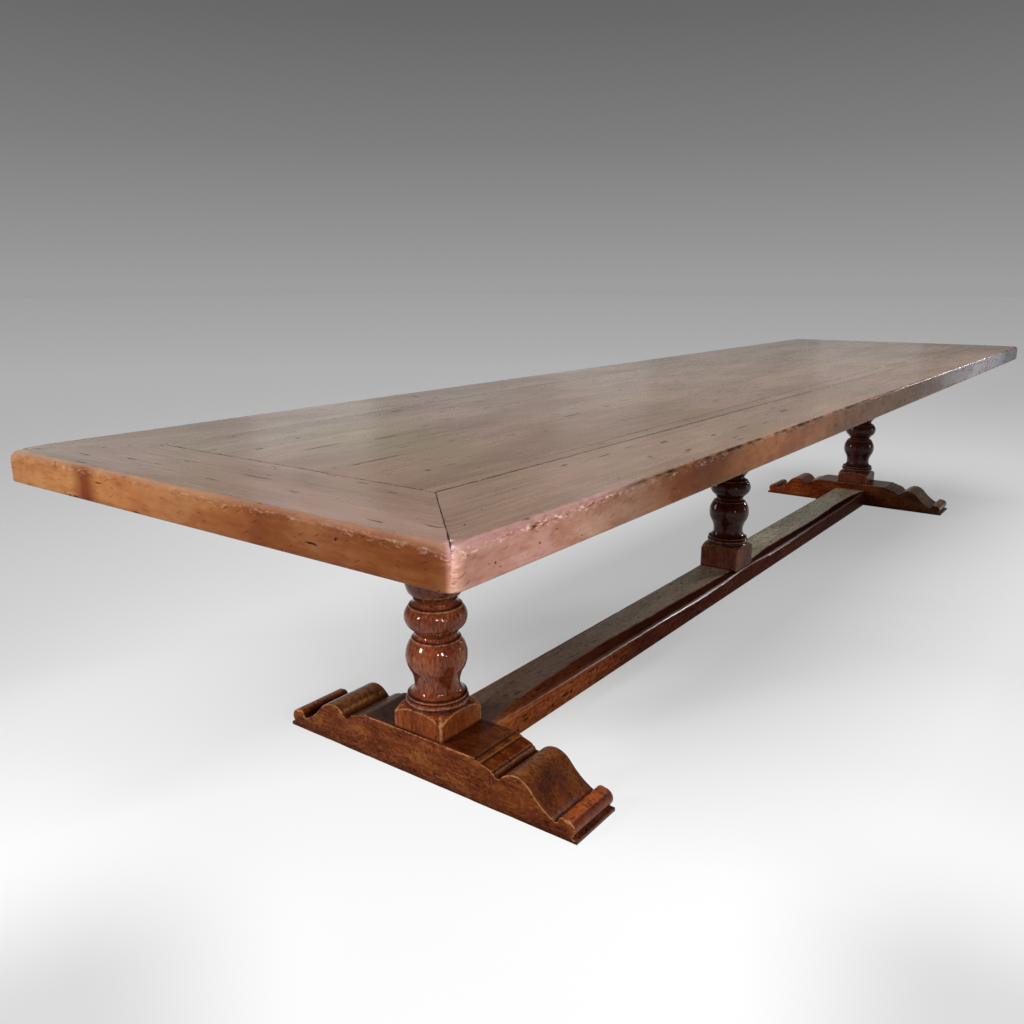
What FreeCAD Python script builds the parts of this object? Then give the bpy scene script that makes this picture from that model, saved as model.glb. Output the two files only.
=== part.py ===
import FreeCAD, Part
import math
import os
import Sketcher

# Refectory table: a boarded top in a mitred border, three turned columns, two scroll feet and a low stretcher.
# X runs along the table, the front is at -Y, Z is up and the origin is on the floor under the middle.

doc = FreeCAD.newDocument("refectory_table")
sheet = doc.addObject("Spreadsheet::Sheet", "sizes")

SIZES = {
    # Top
    "top_length": 4450,
    "top_width": 1144,
    "top_thickness": 64,
    "corner_round": 12,
    "upper_arris": 9,
    "lower_arris": 5,
    "border_left_width": 214,
    "border_right_width": 165,
    "slip_width": 29,
    "front_plank_width": 231,
    "back_plank_width": 177,
    # Loose tongues in the top
    "tongue_thickness": 12,
    "tongue_depth": 8,
    "tongue_stop": 18,
    "tongue_gap": 0.5,
    "mitre_key_stop": 45,
    # Turned part of a column, from its middle outwards to each block
    "ball_radius": 70.3,
    "ball_edge_radius": 60.5,
    "ball_half_height": 26,
    "ridge_height": 1.8,
    "ridge_step": 1.2,
    "ball_cove_height": 9,
    "ball_cove_hollow": 1.2,
    "neck_radius": 46.5,
    "neck_height": 6.5,
    "neck_bulge": 1.6,
    "vase_cove_height": 6.5,
    "vase_cove_hollow": 0.8,
    "vase_edge_radius": 56,
    "vase_belly_height": 71.2,
    "vase_belly_bulge": 11.3,
    "vase_foot_radius": 62,
    "waist_radius": 52,
    "waist_height": 36.6,
    "waist_hollow": 2.55,
    "flare_radius": 67.2,
    "flare_height": 23.2,
    "flare_hollow": 4.2,
    "lip_height": 4.2,
    "lip_step": 1.4,
    "collar_radius": 65.5,
    "groove_height": 2,
    "torus_height": 14,
    "torus_bulge": 6.6,
    "collar_height": 5,
    "shoulder_drop": 18.4,
    "shoulder_bulge": 4,
    "turning_margin": 4,
    # Square blocks and tenons of a column
    "block_width": 142,
    "block_height": 36.8,
    "tenon_width": 62,
    "foot_tenon_length": 40,
    "bearer_tenon_length": 50,
    "tenon_gap": 1,
    "end_overhang": 608,
    # Feet, half outline from the middle out to the toe
    "foot_width": 152,
    "foot_height": 104,
    "platform_half": 165,
    "quirk_run": 2,
    "quirk_drop": 3.3,
    "slope_run": 46,
    "slope_height": 85.3,
    "slope_bulge": 2.2,
    "fillet_run": 4,
    "fillet_drop": 2,
    "groove_wall_run": 5.5,
    "groove_floor_run": 10,
    "groove_floor_height": 75.5,
    "hump_wall_run": 9,
    "hump_edge_height": 86.2,
    "hump_rise_run": 33.5,
    "hump_rise_bulge": 3.3,
    "hump_height": 99,
    "hump_fall_run": 41,
    "hump_fall_bulge": 5.1,
    "hump_foot_height": 77,
    "ankle_run": 57,
    "ankle_hollow": 3.8,
    "ankle_height": 31.5,
    "notch_run": 7,
    "notch_height": 33,
    "toe_radius": 20,
    "toe_height": 46.5,
    "toe_neck_height": 13,
    "sole_thickness": 8,
    "sole_lip": 13.3,
    # Stretcher
    "stretcher_width": 144,
    "stretcher_top": 73,
    "stretcher_lift": 3,
    "stretcher_tenon_length": 40,
    "stretcher_tenon_width": 92,
    "stretcher_tenon_height": 40,
    "stretcher_tenon_base": 14,
    "wear_width": 42,
    "wear_depth": 13,
    "wear_margin": 3,
    "wear_run_out": 130,
    "wear_run_out_bulge": 2.4,
    "wear_stop_at_foot": 22,
    "wear_rise_run": 200,
    "wear_rise_height": 8,
    # Bearers under the top
    "bearer_inset": 80,
    "bearer_width": 152,
    "bearer_depth": 76,
    "bearer_end_depth": 34,
    "bearer_taper_run": 150,
    "bearer_taper_hollow": 6,
    # Fasteners
    "fastener_fit": 0.3,
    "bolt_diameter": 10,
    "bolt_length": 82,
    "bolt_head_diameter": 26,
    "bolt_head_height": 7,
    "bolt_seat": 12,
    "bearer_bolt_seat": 10,
    "screw_diameter": 6,
    "screw_head_diameter": 12,
    "screw_head_height": 4,
    "screw_bite": 30,
    "screw_row_inset": 25,
    "plank_screw_grip": 36,
    "border_screw_grip": 20,
    "middle_plank_screw_edge": 45,
    "border_screw_edge": 30,
    "hole_end_gap": 1,
    "peg_diameter": 14,
    "peg_base": 2,
    "peg_top": 60,
}

for row, (alias, number) in enumerate(SIZES.items(), start=1):
    sheet.set(f"A{row}", alias.replace("_", " "))
    sheet.set(f"B{row}", str(number))
    sheet.setAlias(f"B{row}", alias)
doc.recompute()


class Size:
    """A length: its number draws the first sketch, its text binds the document to the sheet."""

    def __init__(self, number, text):
        self.number = float(number)
        self.text = text

    def join(self, other, sign, number):
        return Size(number, f"({self.text} {sign} {other.text})")

    def __add__(self, other):
        other = as_size(other)
        return self.join(other, "+", self.number + other.number)

    def __sub__(self, other):
        other = as_size(other)
        return self.join(other, "-", self.number - other.number)

    def __mul__(self, other):
        other = as_size(other)
        return self.join(other, "*", self.number * other.number)

    def __truediv__(self, other):
        other = as_size(other)
        return self.join(other, "/", self.number / other.number)

    def __neg__(self):
        return Size(-self.number, f"(-{self.text})")


def as_size(value):
    if isinstance(value, Size):
        return value
    return Size(value, repr(float(value)))


def root(value):
    return Size(math.sqrt(value.number), f"sqrt({value.text})")


class Sizes:
    """Each cell of the sheet as an attribute."""

    def __getattr__(self, alias):
        return Size(sheet.get(alias), f"sizes.{alias}")


size = Sizes()
zero = as_size(0)

# Derived lengths that several pieces share.
half_length = size.top_length / 2
half_width = size.top_width / 2
turned_half = (
    size.ball_half_height + size.ridge_height * 2 + size.ball_cove_height + size.neck_height
    + size.vase_cove_height + size.vase_belly_height + size.waist_height + size.flare_height
    + size.lip_height + size.groove_height + size.torus_height + size.collar_height + size.shoulder_drop
)
column_half = turned_half + size.block_height
column_middle_height = size.foot_height + column_half
bearer_base = column_middle_height + column_half
top_base = bearer_base + size.bearer_depth
column_spacing = half_length - size.end_overhang
foot_inner_face = column_spacing - size.foot_width / 2
bearer_half = half_width - size.bearer_inset
bolt_tip = size.bolt_seat + size.bolt_length

# Plan of the top: inner corners of the border and the joints between the planks.
inner_left = -half_length + size.border_left_width
inner_right = half_length - size.border_right_width
inner_front_left = -half_width + size.border_left_width
inner_front_right = -half_width + size.border_right_width
slip_joint = inner_front_left + size.slip_width
front_joint = slip_joint + size.front_plank_width
back_joint = -inner_front_left - size.back_plank_width
groove_reach = size.tongue_depth + size.tongue_gap

column_places = {"left": -column_spacing, "middle": zero, "right": column_spacing}


def bulge(rise):
    """The edge to the next corner swells out of the outline by this rise."""
    return ("rise", 1, rise)


def hollow(rise):
    """The edge to the next corner is hollowed into the outline by this rise."""
    return ("rise", -1, rise)


def rounded(radius):
    """The edge to the next corner is a convex arc of this radius."""
    return ("radius", 1, radius)


def make_body(label):
    body = doc.addObject("PartDesign::Body", label)
    body.Label = label
    return body


def place(body, x=None, z=None):
    if x is not None:
        body.setExpression("Placement.Base.x", x.text)
    if z is not None:
        body.setExpression("Placement.Base.z", z.text)


def make_sketch(body, name, role, offset=None):
    plane = next(feature for feature in body.Origin.OriginFeatures if feature.Role == role)
    sketch = body.newObject("Sketcher::SketchObject", f"{body.Name}_{name}")
    sketch.AttachmentSupport = [(plane, "")]
    sketch.MapMode = "FlatFace"
    if offset is not None:
        sketch.setExpression("AttachmentOffset.Base.z", offset.text)
    return sketch


def bind(sketch, kind, geometry, value):
    """A dimension of the sketch that follows the sheet."""
    index = sketch.addConstraint(Sketcher.Constraint(kind, *geometry, value.number))
    sketch.setExpression(f"Constraints[{index}]", value.text)


def bend_radius(bend, start, end):
    kind, _, amount = bend
    if kind == "radius":
        return amount
    run = end[0] - start[0]
    climb = end[1] - start[1]
    half_chord_squared = (run * run + climb * climb) / 4
    return (half_chord_squared + amount * amount) / (amount * 2)


def draw_arc(start, end, turn, radius):
    """An arc between two points, anticlockwise for a turn of 1 and clockwise for -1."""
    first = FreeCAD.Vector(start[0].number, start[1].number, 0)
    last = FreeCAD.Vector(end[0].number, end[1].number, 0)
    chord = last - first
    left = FreeCAD.Vector(-chord.y, chord.x, 0) / chord.Length
    reach = math.sqrt(max(radius.number ** 2 - chord.Length ** 2 / 4, 0.0))
    centre = (first + last) / 2 + left * (turn * reach)
    if turn < 0:
        first, last = last, first
    begin = math.atan2(first.y - centre.y, first.x - centre.x)
    finish = math.atan2(last.y - centre.y, last.x - centre.x)
    if finish < begin:
        finish += 2 * math.pi
    circle = Part.Circle(centre, FreeCAD.Vector(0, 0, 1), radius.number)
    return Part.ArcOfCircle(circle, begin, finish)


def draw_outline(sketch, corners):
    """A closed anticlockwise outline: each corner is (x, y), with a bend where the edge after it is curved."""
    edges = []
    for place_in_list, corner in enumerate(corners):
        following = corners[(place_in_list + 1) % len(corners)]
        if len(corner) == 2:
            start = FreeCAD.Vector(corner[0].number, corner[1].number, 0)
            end = FreeCAD.Vector(following[0].number, following[1].number, 0)
            edges.append((sketch.addGeometry(Part.LineSegment(start, end)), 1, 2))
            continue
        turn = corner[2][1]
        radius = bend_radius(corner[2], corner, following)
        edge = sketch.addGeometry(draw_arc(corner, following, turn, radius))
        bind(sketch, "Radius", (edge,), radius)
        edges.append((edge, 1, 2) if turn > 0 else (edge, 2, 1))
    for place_in_list, (edge, first, last) in enumerate(edges):
        next_edge, next_first, _ = edges[(place_in_list + 1) % len(edges)]
        sketch.addConstraint(Sketcher.Constraint("Coincident", edge, last, next_edge, next_first))
        bind(sketch, "DistanceX", (-1, 1, edge, first), corners[place_in_list][0])
        bind(sketch, "DistanceY", (-1, 1, edge, first), corners[place_in_list][1])


def draw_rectangle(sketch, left, low, right, high):
    draw_outline(sketch, [(left, low), (right, low), (right, high), (left, high)])


def draw_square(sketch, width):
    draw_rectangle(sketch, -width / 2, -width / 2, width / 2, width / 2)


def draw_circles(sketch, centres, diameter):
    for x, y in centres:
        centre = FreeCAD.Vector(x.number, y.number, 0)
        circle = sketch.addGeometry(Part.Circle(centre, FreeCAD.Vector(0, 0, 1), diameter.number / 2))
        bind(sketch, "Diameter", (circle,), diameter)
        bind(sketch, "DistanceX", (-1, 1, circle, 3), x)
        bind(sketch, "DistanceY", (-1, 1, circle, 3), y)


def extrude(body, kind, sketch, length, back=None, symmetric=False, reverse=False):
    feature = body.newObject(f"PartDesign::{kind}", f"{sketch.Name}_{kind.lower()}")
    feature.Profile = sketch
    feature.setExpression("Length", length.text)
    feature.Reversed = reverse
    if symmetric:
        feature.SideType = "Symmetric"
    if back is not None:
        feature.SideType = "Two sides"
        feature.setExpression("Length2", back.text)
    body.Tip = feature
    return feature


def pad(body, sketch, length, **options):
    return extrude(body, "Pad", sketch, length, **options)


def cut(body, sketch, length, **options):
    """A pocket, which has to take material away."""
    doc.recompute()
    before = body.Shape.Volume
    feature = extrude(body, "Pocket", sketch, length, **options)
    doc.recompute()
    if body.Shape.Volume > before - 1:
        raise RuntimeError(f"{feature.Name} cuts nothing")
    return feature


def drill_up(body, name, centres, diameter, depth, offset=None):
    sketch = make_sketch(body, name, "XY_Plane", offset)
    draw_circles(sketch, centres, diameter)
    cut(body, sketch, depth, reverse=True)


def drill_down(body, name, centres, diameter, depth, offset=None):
    sketch = make_sketch(body, name, "XY_Plane", offset)
    draw_circles(sketch, centres, diameter)
    cut(body, sketch, depth)


def mirror_feature(body, feature, role):
    mirror = body.newObject("PartDesign::Mirrored", f"{feature.Name}_mirrored")
    mirror.Originals = [feature]
    plane = next(item for item in body.Origin.OriginFeatures if item.Role == role)
    mirror.MirrorPlane = (plane, [""])
    body.Tip = mirror
    return mirror


def fit_hole(diameter):
    return diameter + size.fastener_fit * 2


# Places of the fasteners.
screw_rows = [size.bearer_width / 2 - size.screw_row_inset, size.screw_row_inset - size.bearer_width / 2]
plank_screw_lines = {
    "plank_front": (slip_joint + front_joint) / 2,
    "plank_middle": back_joint - size.middle_plank_screw_edge,
    "plank_back": back_joint + size.back_plank_width / 2,
}
border_screw_lines = {
    "border_front": inner_front_right - size.border_screw_edge,
    "border_back": size.border_screw_edge - inner_front_right,
}


def screw_places(line):
    """Two screws at each bearer, on one line along the grain."""
    return [(middle + row, line) for middle in column_places.values() for row in screw_rows]


# Top: border boards, planks and the loose tongues between them.


def side_strip(side, reach):
    """Plan of a tongue or groove along the joint of a long border board; the side is -1 for the front."""
    slant = (size.border_left_width - size.border_right_width) / (inner_right - inner_left)
    near = -(inner_front_left - slant * size.tongue_stop)
    far = -(inner_front_right + slant * size.tongue_stop)
    left = inner_left + size.tongue_stop
    right = inner_right - size.tongue_stop
    if side < 0:
        return [(left, -near - reach), (right, -far - reach), (right, -far + reach), (left, -near + reach)]
    return [(left, near - reach), (right, far - reach), (right, far + reach), (left, near + reach)]


def end_strip(joint, inner_front, reach):
    """Plan of a tongue or groove along the joint of an end border board."""
    low = inner_front + size.tongue_stop
    return [(joint - reach, low), (joint + reach, low), (joint + reach, -low), (joint - reach, -low)]


def plank_strip(joint, reach):
    """Plan of a tongue or groove between two planks."""
    left = inner_left + size.tongue_stop
    right = inner_right - size.tongue_stop
    return [(left, joint - reach), (right, joint - reach), (right, joint + reach), (left, joint + reach)]


def mitre_strip(end, side, reach):
    """Plan of a key or its groove across a mitre; the end and the side are -1 or 1."""
    border = size.border_left_width if end < 0 else size.border_right_width
    outer = size.mitre_key_stop
    inner = border - size.mitre_key_stop
    shift = reach * math.sqrt(2)
    corners = [(outer, -shift), (outer, shift), (inner, shift), (inner, -shift)]
    return [((half_length - inset) * end + move, (half_width - inset) * side) for inset, move in corners]


strips = {
    "tongue_front": lambda reach: side_strip(-1, reach),
    "tongue_back": lambda reach: side_strip(1, reach),
    "tongue_left": lambda reach: end_strip(inner_left, inner_front_left, reach),
    "tongue_right": lambda reach: end_strip(inner_right, inner_front_right, reach),
    "tongue_slip": lambda reach: plank_strip(slip_joint, reach),
    "tongue_plank_front": lambda reach: plank_strip(front_joint, reach),
    "tongue_plank_back": lambda reach: plank_strip(back_joint, reach),
    "mitre_key_front_left": lambda reach: mitre_strip(-1, -1, reach),
    "mitre_key_front_right": lambda reach: mitre_strip(1, -1, reach),
    "mitre_key_back_left": lambda reach: mitre_strip(-1, 1, reach),
    "mitre_key_back_right": lambda reach: mitre_strip(1, 1, reach),
}

corner_inset = size.corner_round * (1 - math.sqrt(0.5))


def long_border(side):
    """Plan of a long border board with its share of the two rounded corners."""
    tip = half_width - corner_inset
    outer = [
        (-half_length + corner_inset, -tip, rounded(size.corner_round)),
        (-half_length + size.corner_round, -half_width),
        (half_length - size.corner_round, -half_width, rounded(size.corner_round)),
        (half_length - corner_inset, -tip),
        (inner_right, inner_front_right),
        (inner_left, inner_front_left),
    ]
    if side < 0:
        return outer
    return [
        (half_length - corner_inset, tip, rounded(size.corner_round)),
        (half_length - size.corner_round, half_width),
        (-half_length + size.corner_round, half_width, rounded(size.corner_round)),
        (-half_length + corner_inset, tip),
        (inner_left, -inner_front_left),
        (inner_right, -inner_front_right),
    ]


def end_border(end):
    """Plan of an end border board with its share of the two rounded corners."""
    tip = half_length - corner_inset
    flat = half_width - size.corner_round
    side = half_width - corner_inset
    if end < 0:
        return [
            (-tip, side, rounded(size.corner_round)),
            (-half_length, flat),
            (-half_length, -flat, rounded(size.corner_round)),
            (-tip, -side),
            (inner_left, inner_front_left),
            (inner_left, -inner_front_left),
        ]
    return [
        (tip, -side, rounded(size.corner_round)),
        (half_length, -flat),
        (half_length, flat, rounded(size.corner_round)),
        (tip, side),
        (inner_right, -inner_front_right),
        (inner_right, inner_front_right),
    ]


def plank_plan(front_left, front_right, back_left, back_right):
    return [
        (inner_left, front_left), (inner_right, front_right),
        (inner_right, back_right), (inner_left, back_left),
    ]


boards = {
    "border_front": (long_border(-1), ["tongue_front", "mitre_key_front_left", "mitre_key_front_right"]),
    "border_back": (long_border(1), ["tongue_back", "mitre_key_back_left", "mitre_key_back_right"]),
    "border_left": (end_border(-1), ["tongue_left", "mitre_key_front_left", "mitre_key_back_left"]),
    "border_right": (end_border(1), ["tongue_right", "mitre_key_front_right", "mitre_key_back_right"]),
    "plank_slip": (
        plank_plan(inner_front_left, inner_front_right, slip_joint, slip_joint),
        ["tongue_front", "tongue_slip", "tongue_left", "tongue_right"],
    ),
    "plank_front": (
        plank_plan(slip_joint, slip_joint, front_joint, front_joint),
        ["tongue_slip", "tongue_plank_front", "tongue_left", "tongue_right"],
    ),
    "plank_middle": (
        plank_plan(front_joint, front_joint, back_joint, back_joint),
        ["tongue_plank_front", "tongue_plank_back", "tongue_left", "tongue_right"],
    ),
    "plank_back": (
        plank_plan(back_joint, back_joint, -inner_front_left, -inner_front_right),
        ["tongue_plank_back", "tongue_back", "tongue_left", "tongue_right"],
    ),
}


def outer_edges(shape, height):
    """Names of the edges round the outside of the top at one height."""
    names = []
    for number, edge in enumerate(shape.Edges, start=1):
        middle = edge.valueAt((edge.FirstParameter + edge.LastParameter) / 2)
        level = all(abs(vertex.Z - height) < 0.01 for vertex in edge.Vertexes)
        beyond = max(abs(middle.x) - half_length.number, abs(middle.y) - half_width.number)
        if level and beyond > -corner_inset.number:
            names.append(f"Edge{number}")
    return names


def round_outer_edges(body, name, height, radius):
    doc.recompute()
    base = body.Tip
    fillet = body.newObject("PartDesign::Fillet", f"{body.Name}_{name}")
    fillet.Base = (base, outer_edges(base.Shape, height.number))
    fillet.setExpression("Radius", radius.text)
    body.Tip = fillet
    doc.recompute()


def make_board(label, plan, joints):
    body = make_body(label)
    sketch = make_sketch(body, "plan", "XY_Plane")
    draw_outline(sketch, plan)
    pad(body, sketch, size.top_thickness)
    if label.startswith("border"):
        round_outer_edges(body, "upper_arris", size.top_thickness, size.upper_arris)
        round_outer_edges(body, "lower_arris", zero, size.lower_arris)
    for joint in joints:
        groove = make_sketch(body, f"{joint}_groove", "XY_Plane", size.top_thickness / 2)
        draw_outline(groove, strips[joint](groove_reach))
        cut(body, groove, size.tongue_thickness, symmetric=True)
    line = plank_screw_lines.get(label) or border_screw_lines.get(label)
    if line is not None:
        depth = size.screw_bite + size.hole_end_gap
        drill_up(body, "pilots", screw_places(line), fit_hole(size.screw_diameter), depth)
    place(body, z=top_base)
    return body


def make_tongue(label, strip):
    body = make_body(label)
    sketch = make_sketch(body, "plan", "XY_Plane", size.top_thickness / 2)
    draw_outline(sketch, strip(size.tongue_depth))
    pad(body, sketch, size.tongue_thickness, symmetric=True)
    place(body, z=top_base)
    return body


# Columns: a square blank, turned between its two blocks, with a tenon at each end.


def turned_outline():
    """Waste that the turner takes off one half of a column, from its middle down to the shoulder."""
    outline = []
    depth = zero

    def corner(radius, bend=None):
        outline.append((radius, -depth, bend) if bend else (radius, -depth))

    drop = size.ball_radius - size.ball_edge_radius
    half = size.ball_half_height
    ball_arc = ("radius", -1, (half * half + drop * drop) / (drop * 2))
    corner(size.ball_radius, ball_arc)
    depth = depth + half
    corner(size.ball_edge_radius)
    depth = depth + size.ridge_height
    corner(size.ball_edge_radius)
    corner(size.ball_edge_radius - size.ridge_step, bulge(size.ball_cove_hollow))
    depth = depth + size.ball_cove_height
    corner(size.neck_radius, hollow(size.neck_bulge))
    depth = depth + size.neck_height
    corner(size.neck_radius, bulge(size.vase_cove_hollow))
    depth = depth + size.vase_cove_height
    corner(size.vase_edge_radius - size.ridge_step)
    corner(size.vase_edge_radius)
    depth = depth + size.ridge_height
    corner(size.vase_edge_radius, hollow(size.vase_belly_bulge))
    depth = depth + size.vase_belly_height
    corner(size.vase_foot_radius, bulge(size.waist_hollow))
    depth = depth + size.waist_height
    corner(size.waist_radius, bulge(size.flare_hollow))
    depth = depth + size.flare_height
    corner(size.flare_radius)
    corner(size.flare_radius + size.lip_step)
    depth = depth + size.lip_height
    corner(size.flare_radius + size.lip_step)
    corner(size.collar_radius)
    depth = depth + size.groove_height
    corner(size.collar_radius, hollow(size.torus_bulge))
    depth = depth + size.torus_height
    corner(size.collar_radius)
    depth = depth + size.collar_height
    corner(size.collar_radius, hollow(size.shoulder_bulge))
    depth = depth + size.shoulder_drop
    outer = size.block_width * math.sqrt(0.5) + size.turning_margin
    corner(outer)
    outline.append((outer, zero))
    return outline


def make_column(name, middle):
    body = make_body(f"column_{name}")
    carried_at = size.stretcher_top if name == "middle" else size.foot_height
    lower_half = column_middle_height - carried_at

    blank = make_sketch(body, "blank", "XY_Plane")
    draw_square(blank, size.block_width)
    pad(body, blank, column_half, back=lower_half)

    turned = make_sketch(body, "turned", "XZ_Plane")
    draw_outline(turned, turned_outline())
    doc.recompute()
    groove = body.newObject("PartDesign::Groove", f"{body.Name}_turning")
    groove.Profile = turned
    groove.ReferenceAxis = (turned, ["V_Axis"])
    groove.Angle = 360
    body.Tip = groove
    doc.recompute()
    mirror_feature(body, groove, "XY_Plane")

    upper = make_sketch(body, "upper_tenon", "XY_Plane", column_half)
    draw_square(upper, size.tenon_width)
    pad(body, upper, size.bearer_tenon_length)
    lower = make_sketch(body, "lower_tenon", "XY_Plane", -lower_half)
    draw_square(lower, size.tenon_width)
    pad(body, lower, size.foot_tenon_length, reverse=True)

    hole = fit_hole(size.bolt_diameter)
    centre = [(zero, zero)]
    tenon_end = carried_at - size.foot_tenon_length
    lower_depth = bolt_tip - tenon_end + size.hole_end_gap
    drill_up(body, "lower_pilot", centre, hole, lower_depth, tenon_end - column_middle_height)
    tenon_top = column_half + size.bearer_tenon_length
    cover = size.bearer_depth - size.bearer_tenon_length - size.bearer_bolt_seat
    drill_down(body, "upper_pilot", centre, hole, size.bolt_length - cover + size.hole_end_gap, tenon_top)
    place(body, x=middle, z=column_middle_height)
    return body


# Feet: a sawn and carved outline, the same towards the front and the back.


def foot_half_outline():
    """Corners from the sole at the toe up to the edge of the platform, as (distance from the middle, height)."""
    toe_centre_height = size.toe_height - size.toe_radius
    platform = size.platform_half
    quirk = platform + size.quirk_run
    slope = quirk + size.slope_run
    fillet = slope + size.fillet_run
    fillet_height = size.slope_height - size.fillet_drop
    groove_in = fillet + size.groove_wall_run
    groove_out = groove_in + size.groove_floor_run
    hump_edge = groove_out + size.hump_wall_run
    hump = hump_edge + size.hump_rise_run
    hump_foot = hump + size.hump_fall_run
    ankle = hump_foot + size.ankle_run
    notch = ankle + size.notch_run
    squared = size.toe_radius * size.toe_radius
    notch_rise = size.notch_height - toe_centre_height
    toe = notch + root(squared - notch_rise * notch_rise)
    neck_drop = toe_centre_height - size.toe_neck_height
    neck = toe + root(squared - neck_drop * neck_drop)
    lip = neck + size.sole_lip
    return [
        (lip, zero),
        (lip, size.sole_thickness),
        (neck, size.sole_thickness),
        (neck, size.toe_neck_height, rounded(size.toe_radius)),
        (toe, size.toe_height, rounded(size.toe_radius)),
        (notch, size.notch_height),
        (ankle, size.ankle_height, hollow(size.ankle_hollow)),
        (hump_foot, size.hump_foot_height, bulge(size.hump_fall_bulge)),
        (hump, size.hump_height, bulge(size.hump_rise_bulge)),
        (hump_edge, size.hump_edge_height),
        (groove_out, size.groove_floor_height),
        (groove_in, size.groove_floor_height),
        (fillet, fillet_height),
        (slope, fillet_height),
        (slope, size.slope_height, bulge(size.slope_bulge)),
        (quirk, size.foot_height - size.quirk_drop),
        (platform, size.foot_height),
    ]


def foot_outline():
    """The half outline, then its mirror image back down to the other sole."""
    half = foot_half_outline()
    outline = list(half)
    for place_in_list in range(len(half) - 1, -1, -1):
        corner = half[place_in_list]
        before = half[place_in_list - 1] if place_in_list else ()
        bend = before[2:] if len(before) == 3 else ()
        outline.append((-corner[0], corner[1], *bend))
    return outline


def make_foot(name, middle, turned_round):
    body = make_body(f"foot_{name}")
    outline = make_sketch(body, "outline", "YZ_Plane")
    draw_outline(outline, foot_outline())
    pad(body, outline, size.foot_width, symmetric=True)

    mortise = make_sketch(body, "column_mortise", "XY_Plane", size.foot_height)
    draw_square(mortise, size.tenon_width)
    cut(body, mortise, size.foot_tenon_length + size.tenon_gap)

    inner_mortise = make_sketch(body, "stretcher_mortise", "YZ_Plane", size.foot_width / 2)
    tenon_half = size.stretcher_tenon_width / 2
    tenon_top = size.stretcher_tenon_base + size.stretcher_tenon_height
    draw_rectangle(inner_mortise, -tenon_half, size.stretcher_tenon_base, tenon_half, tenon_top)
    cut(body, inner_mortise, size.stretcher_tenon_length + size.tenon_gap)

    centre = [(zero, zero)]
    drill_up(body, "bolt_head", centre, fit_hole(size.bolt_head_diameter), size.bolt_seat)
    drill_up(body, "bolt", centre, fit_hole(size.bolt_diameter), size.foot_height - size.foot_tenon_length)
    peg = [(size.foot_width / 2 - size.stretcher_tenon_length / 2, zero)]
    drill_up(body, "peg", peg, fit_hole(size.peg_diameter), size.peg_top + size.hole_end_gap)

    if turned_round:
        body.Placement.Rotation = FreeCAD.Rotation(FreeCAD.Vector(0, 0, 1), 180)
    place(body, x=middle)
    return body


# Stretcher: a flat rail tenoned into both feet, with its upper edges worn away between the feet.


def worn_outline():
    """Side view, along the worn face, of what is worn off one upper edge: less of it beside the middle block."""
    last = foot_inner_face - size.wear_stop_at_foot
    clear = size.wear_depth + size.wear_margin
    return [
        (-last, clear, bulge(size.wear_run_out_bulge)),
        (-last + size.wear_run_out, zero),
        (-size.wear_rise_run, zero, hollow(size.wear_rise_height)),
        (size.wear_rise_run, zero),
        (last - size.wear_run_out, zero, bulge(size.wear_run_out_bulge)),
        (last, clear),
    ]


def make_stretcher():
    body = make_body("stretcher")
    half_rail = size.stretcher_width / 2
    section = make_sketch(body, "section", "YZ_Plane")
    draw_rectangle(section, -half_rail, size.stretcher_lift, half_rail, size.stretcher_top)
    pad(body, section, foot_inner_face * 2, symmetric=True)

    worn = make_sketch(body, "worn_edge", "XZ_Plane", half_rail)
    worn.setExpression("AttachmentOffset.Base.y", (size.stretcher_top - size.wear_depth).text)
    worn.AttachmentOffset.Rotation = FreeCAD.Rotation(FreeCAD.Vector(1, 0, 0), 1)
    slope = f"atan({size.wear_depth.text} / {size.wear_width.text})"
    worn.setExpression("AttachmentOffset.Rotation.Angle", slope)
    draw_outline(worn, worn_outline())
    worn_edge = cut(body, worn, size.stretcher_width, symmetric=True)
    mirror_feature(body, worn_edge, "XZ_Plane")

    tenon = make_sketch(body, "tenon", "YZ_Plane")
    tenon_half = size.stretcher_tenon_width / 2
    tenon_top = size.stretcher_tenon_base + size.stretcher_tenon_height
    draw_rectangle(tenon, -tenon_half, size.stretcher_tenon_base, tenon_half, tenon_top)
    pad(body, tenon, (foot_inner_face + size.stretcher_tenon_length) * 2, symmetric=True)

    mortise = make_sketch(body, "column_mortise", "XY_Plane", size.stretcher_top)
    draw_square(mortise, size.tenon_width)
    cut(body, mortise, size.foot_tenon_length + size.tenon_gap)

    centre = [(zero, zero)]
    drill_up(body, "bolt_head", centre, fit_hole(size.bolt_head_diameter), size.bolt_seat)
    drill_up(body, "bolt", centre, fit_hole(size.bolt_diameter), size.stretcher_top - size.foot_tenon_length)
    peg_place = foot_inner_face + size.stretcher_tenon_length / 2
    pegs = [(-peg_place, zero), (peg_place, zero)]
    drill_up(body, "peg_holes", pegs, fit_hole(size.peg_diameter), size.stretcher_top)
    return body


# Bearers: cross timbers on the columns that carry the top.


def bearer_outline():
    end = bearer_half
    taper = end - size.bearer_taper_run
    depth = size.bearer_depth
    shallow = size.bearer_end_depth
    return [
        (-taper, -depth), (taper, -depth, hollow(size.bearer_taper_hollow)), (end, -shallow), (end, zero),
        (-end, zero), (-end, -shallow, hollow(size.bearer_taper_hollow)),
    ]


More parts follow.
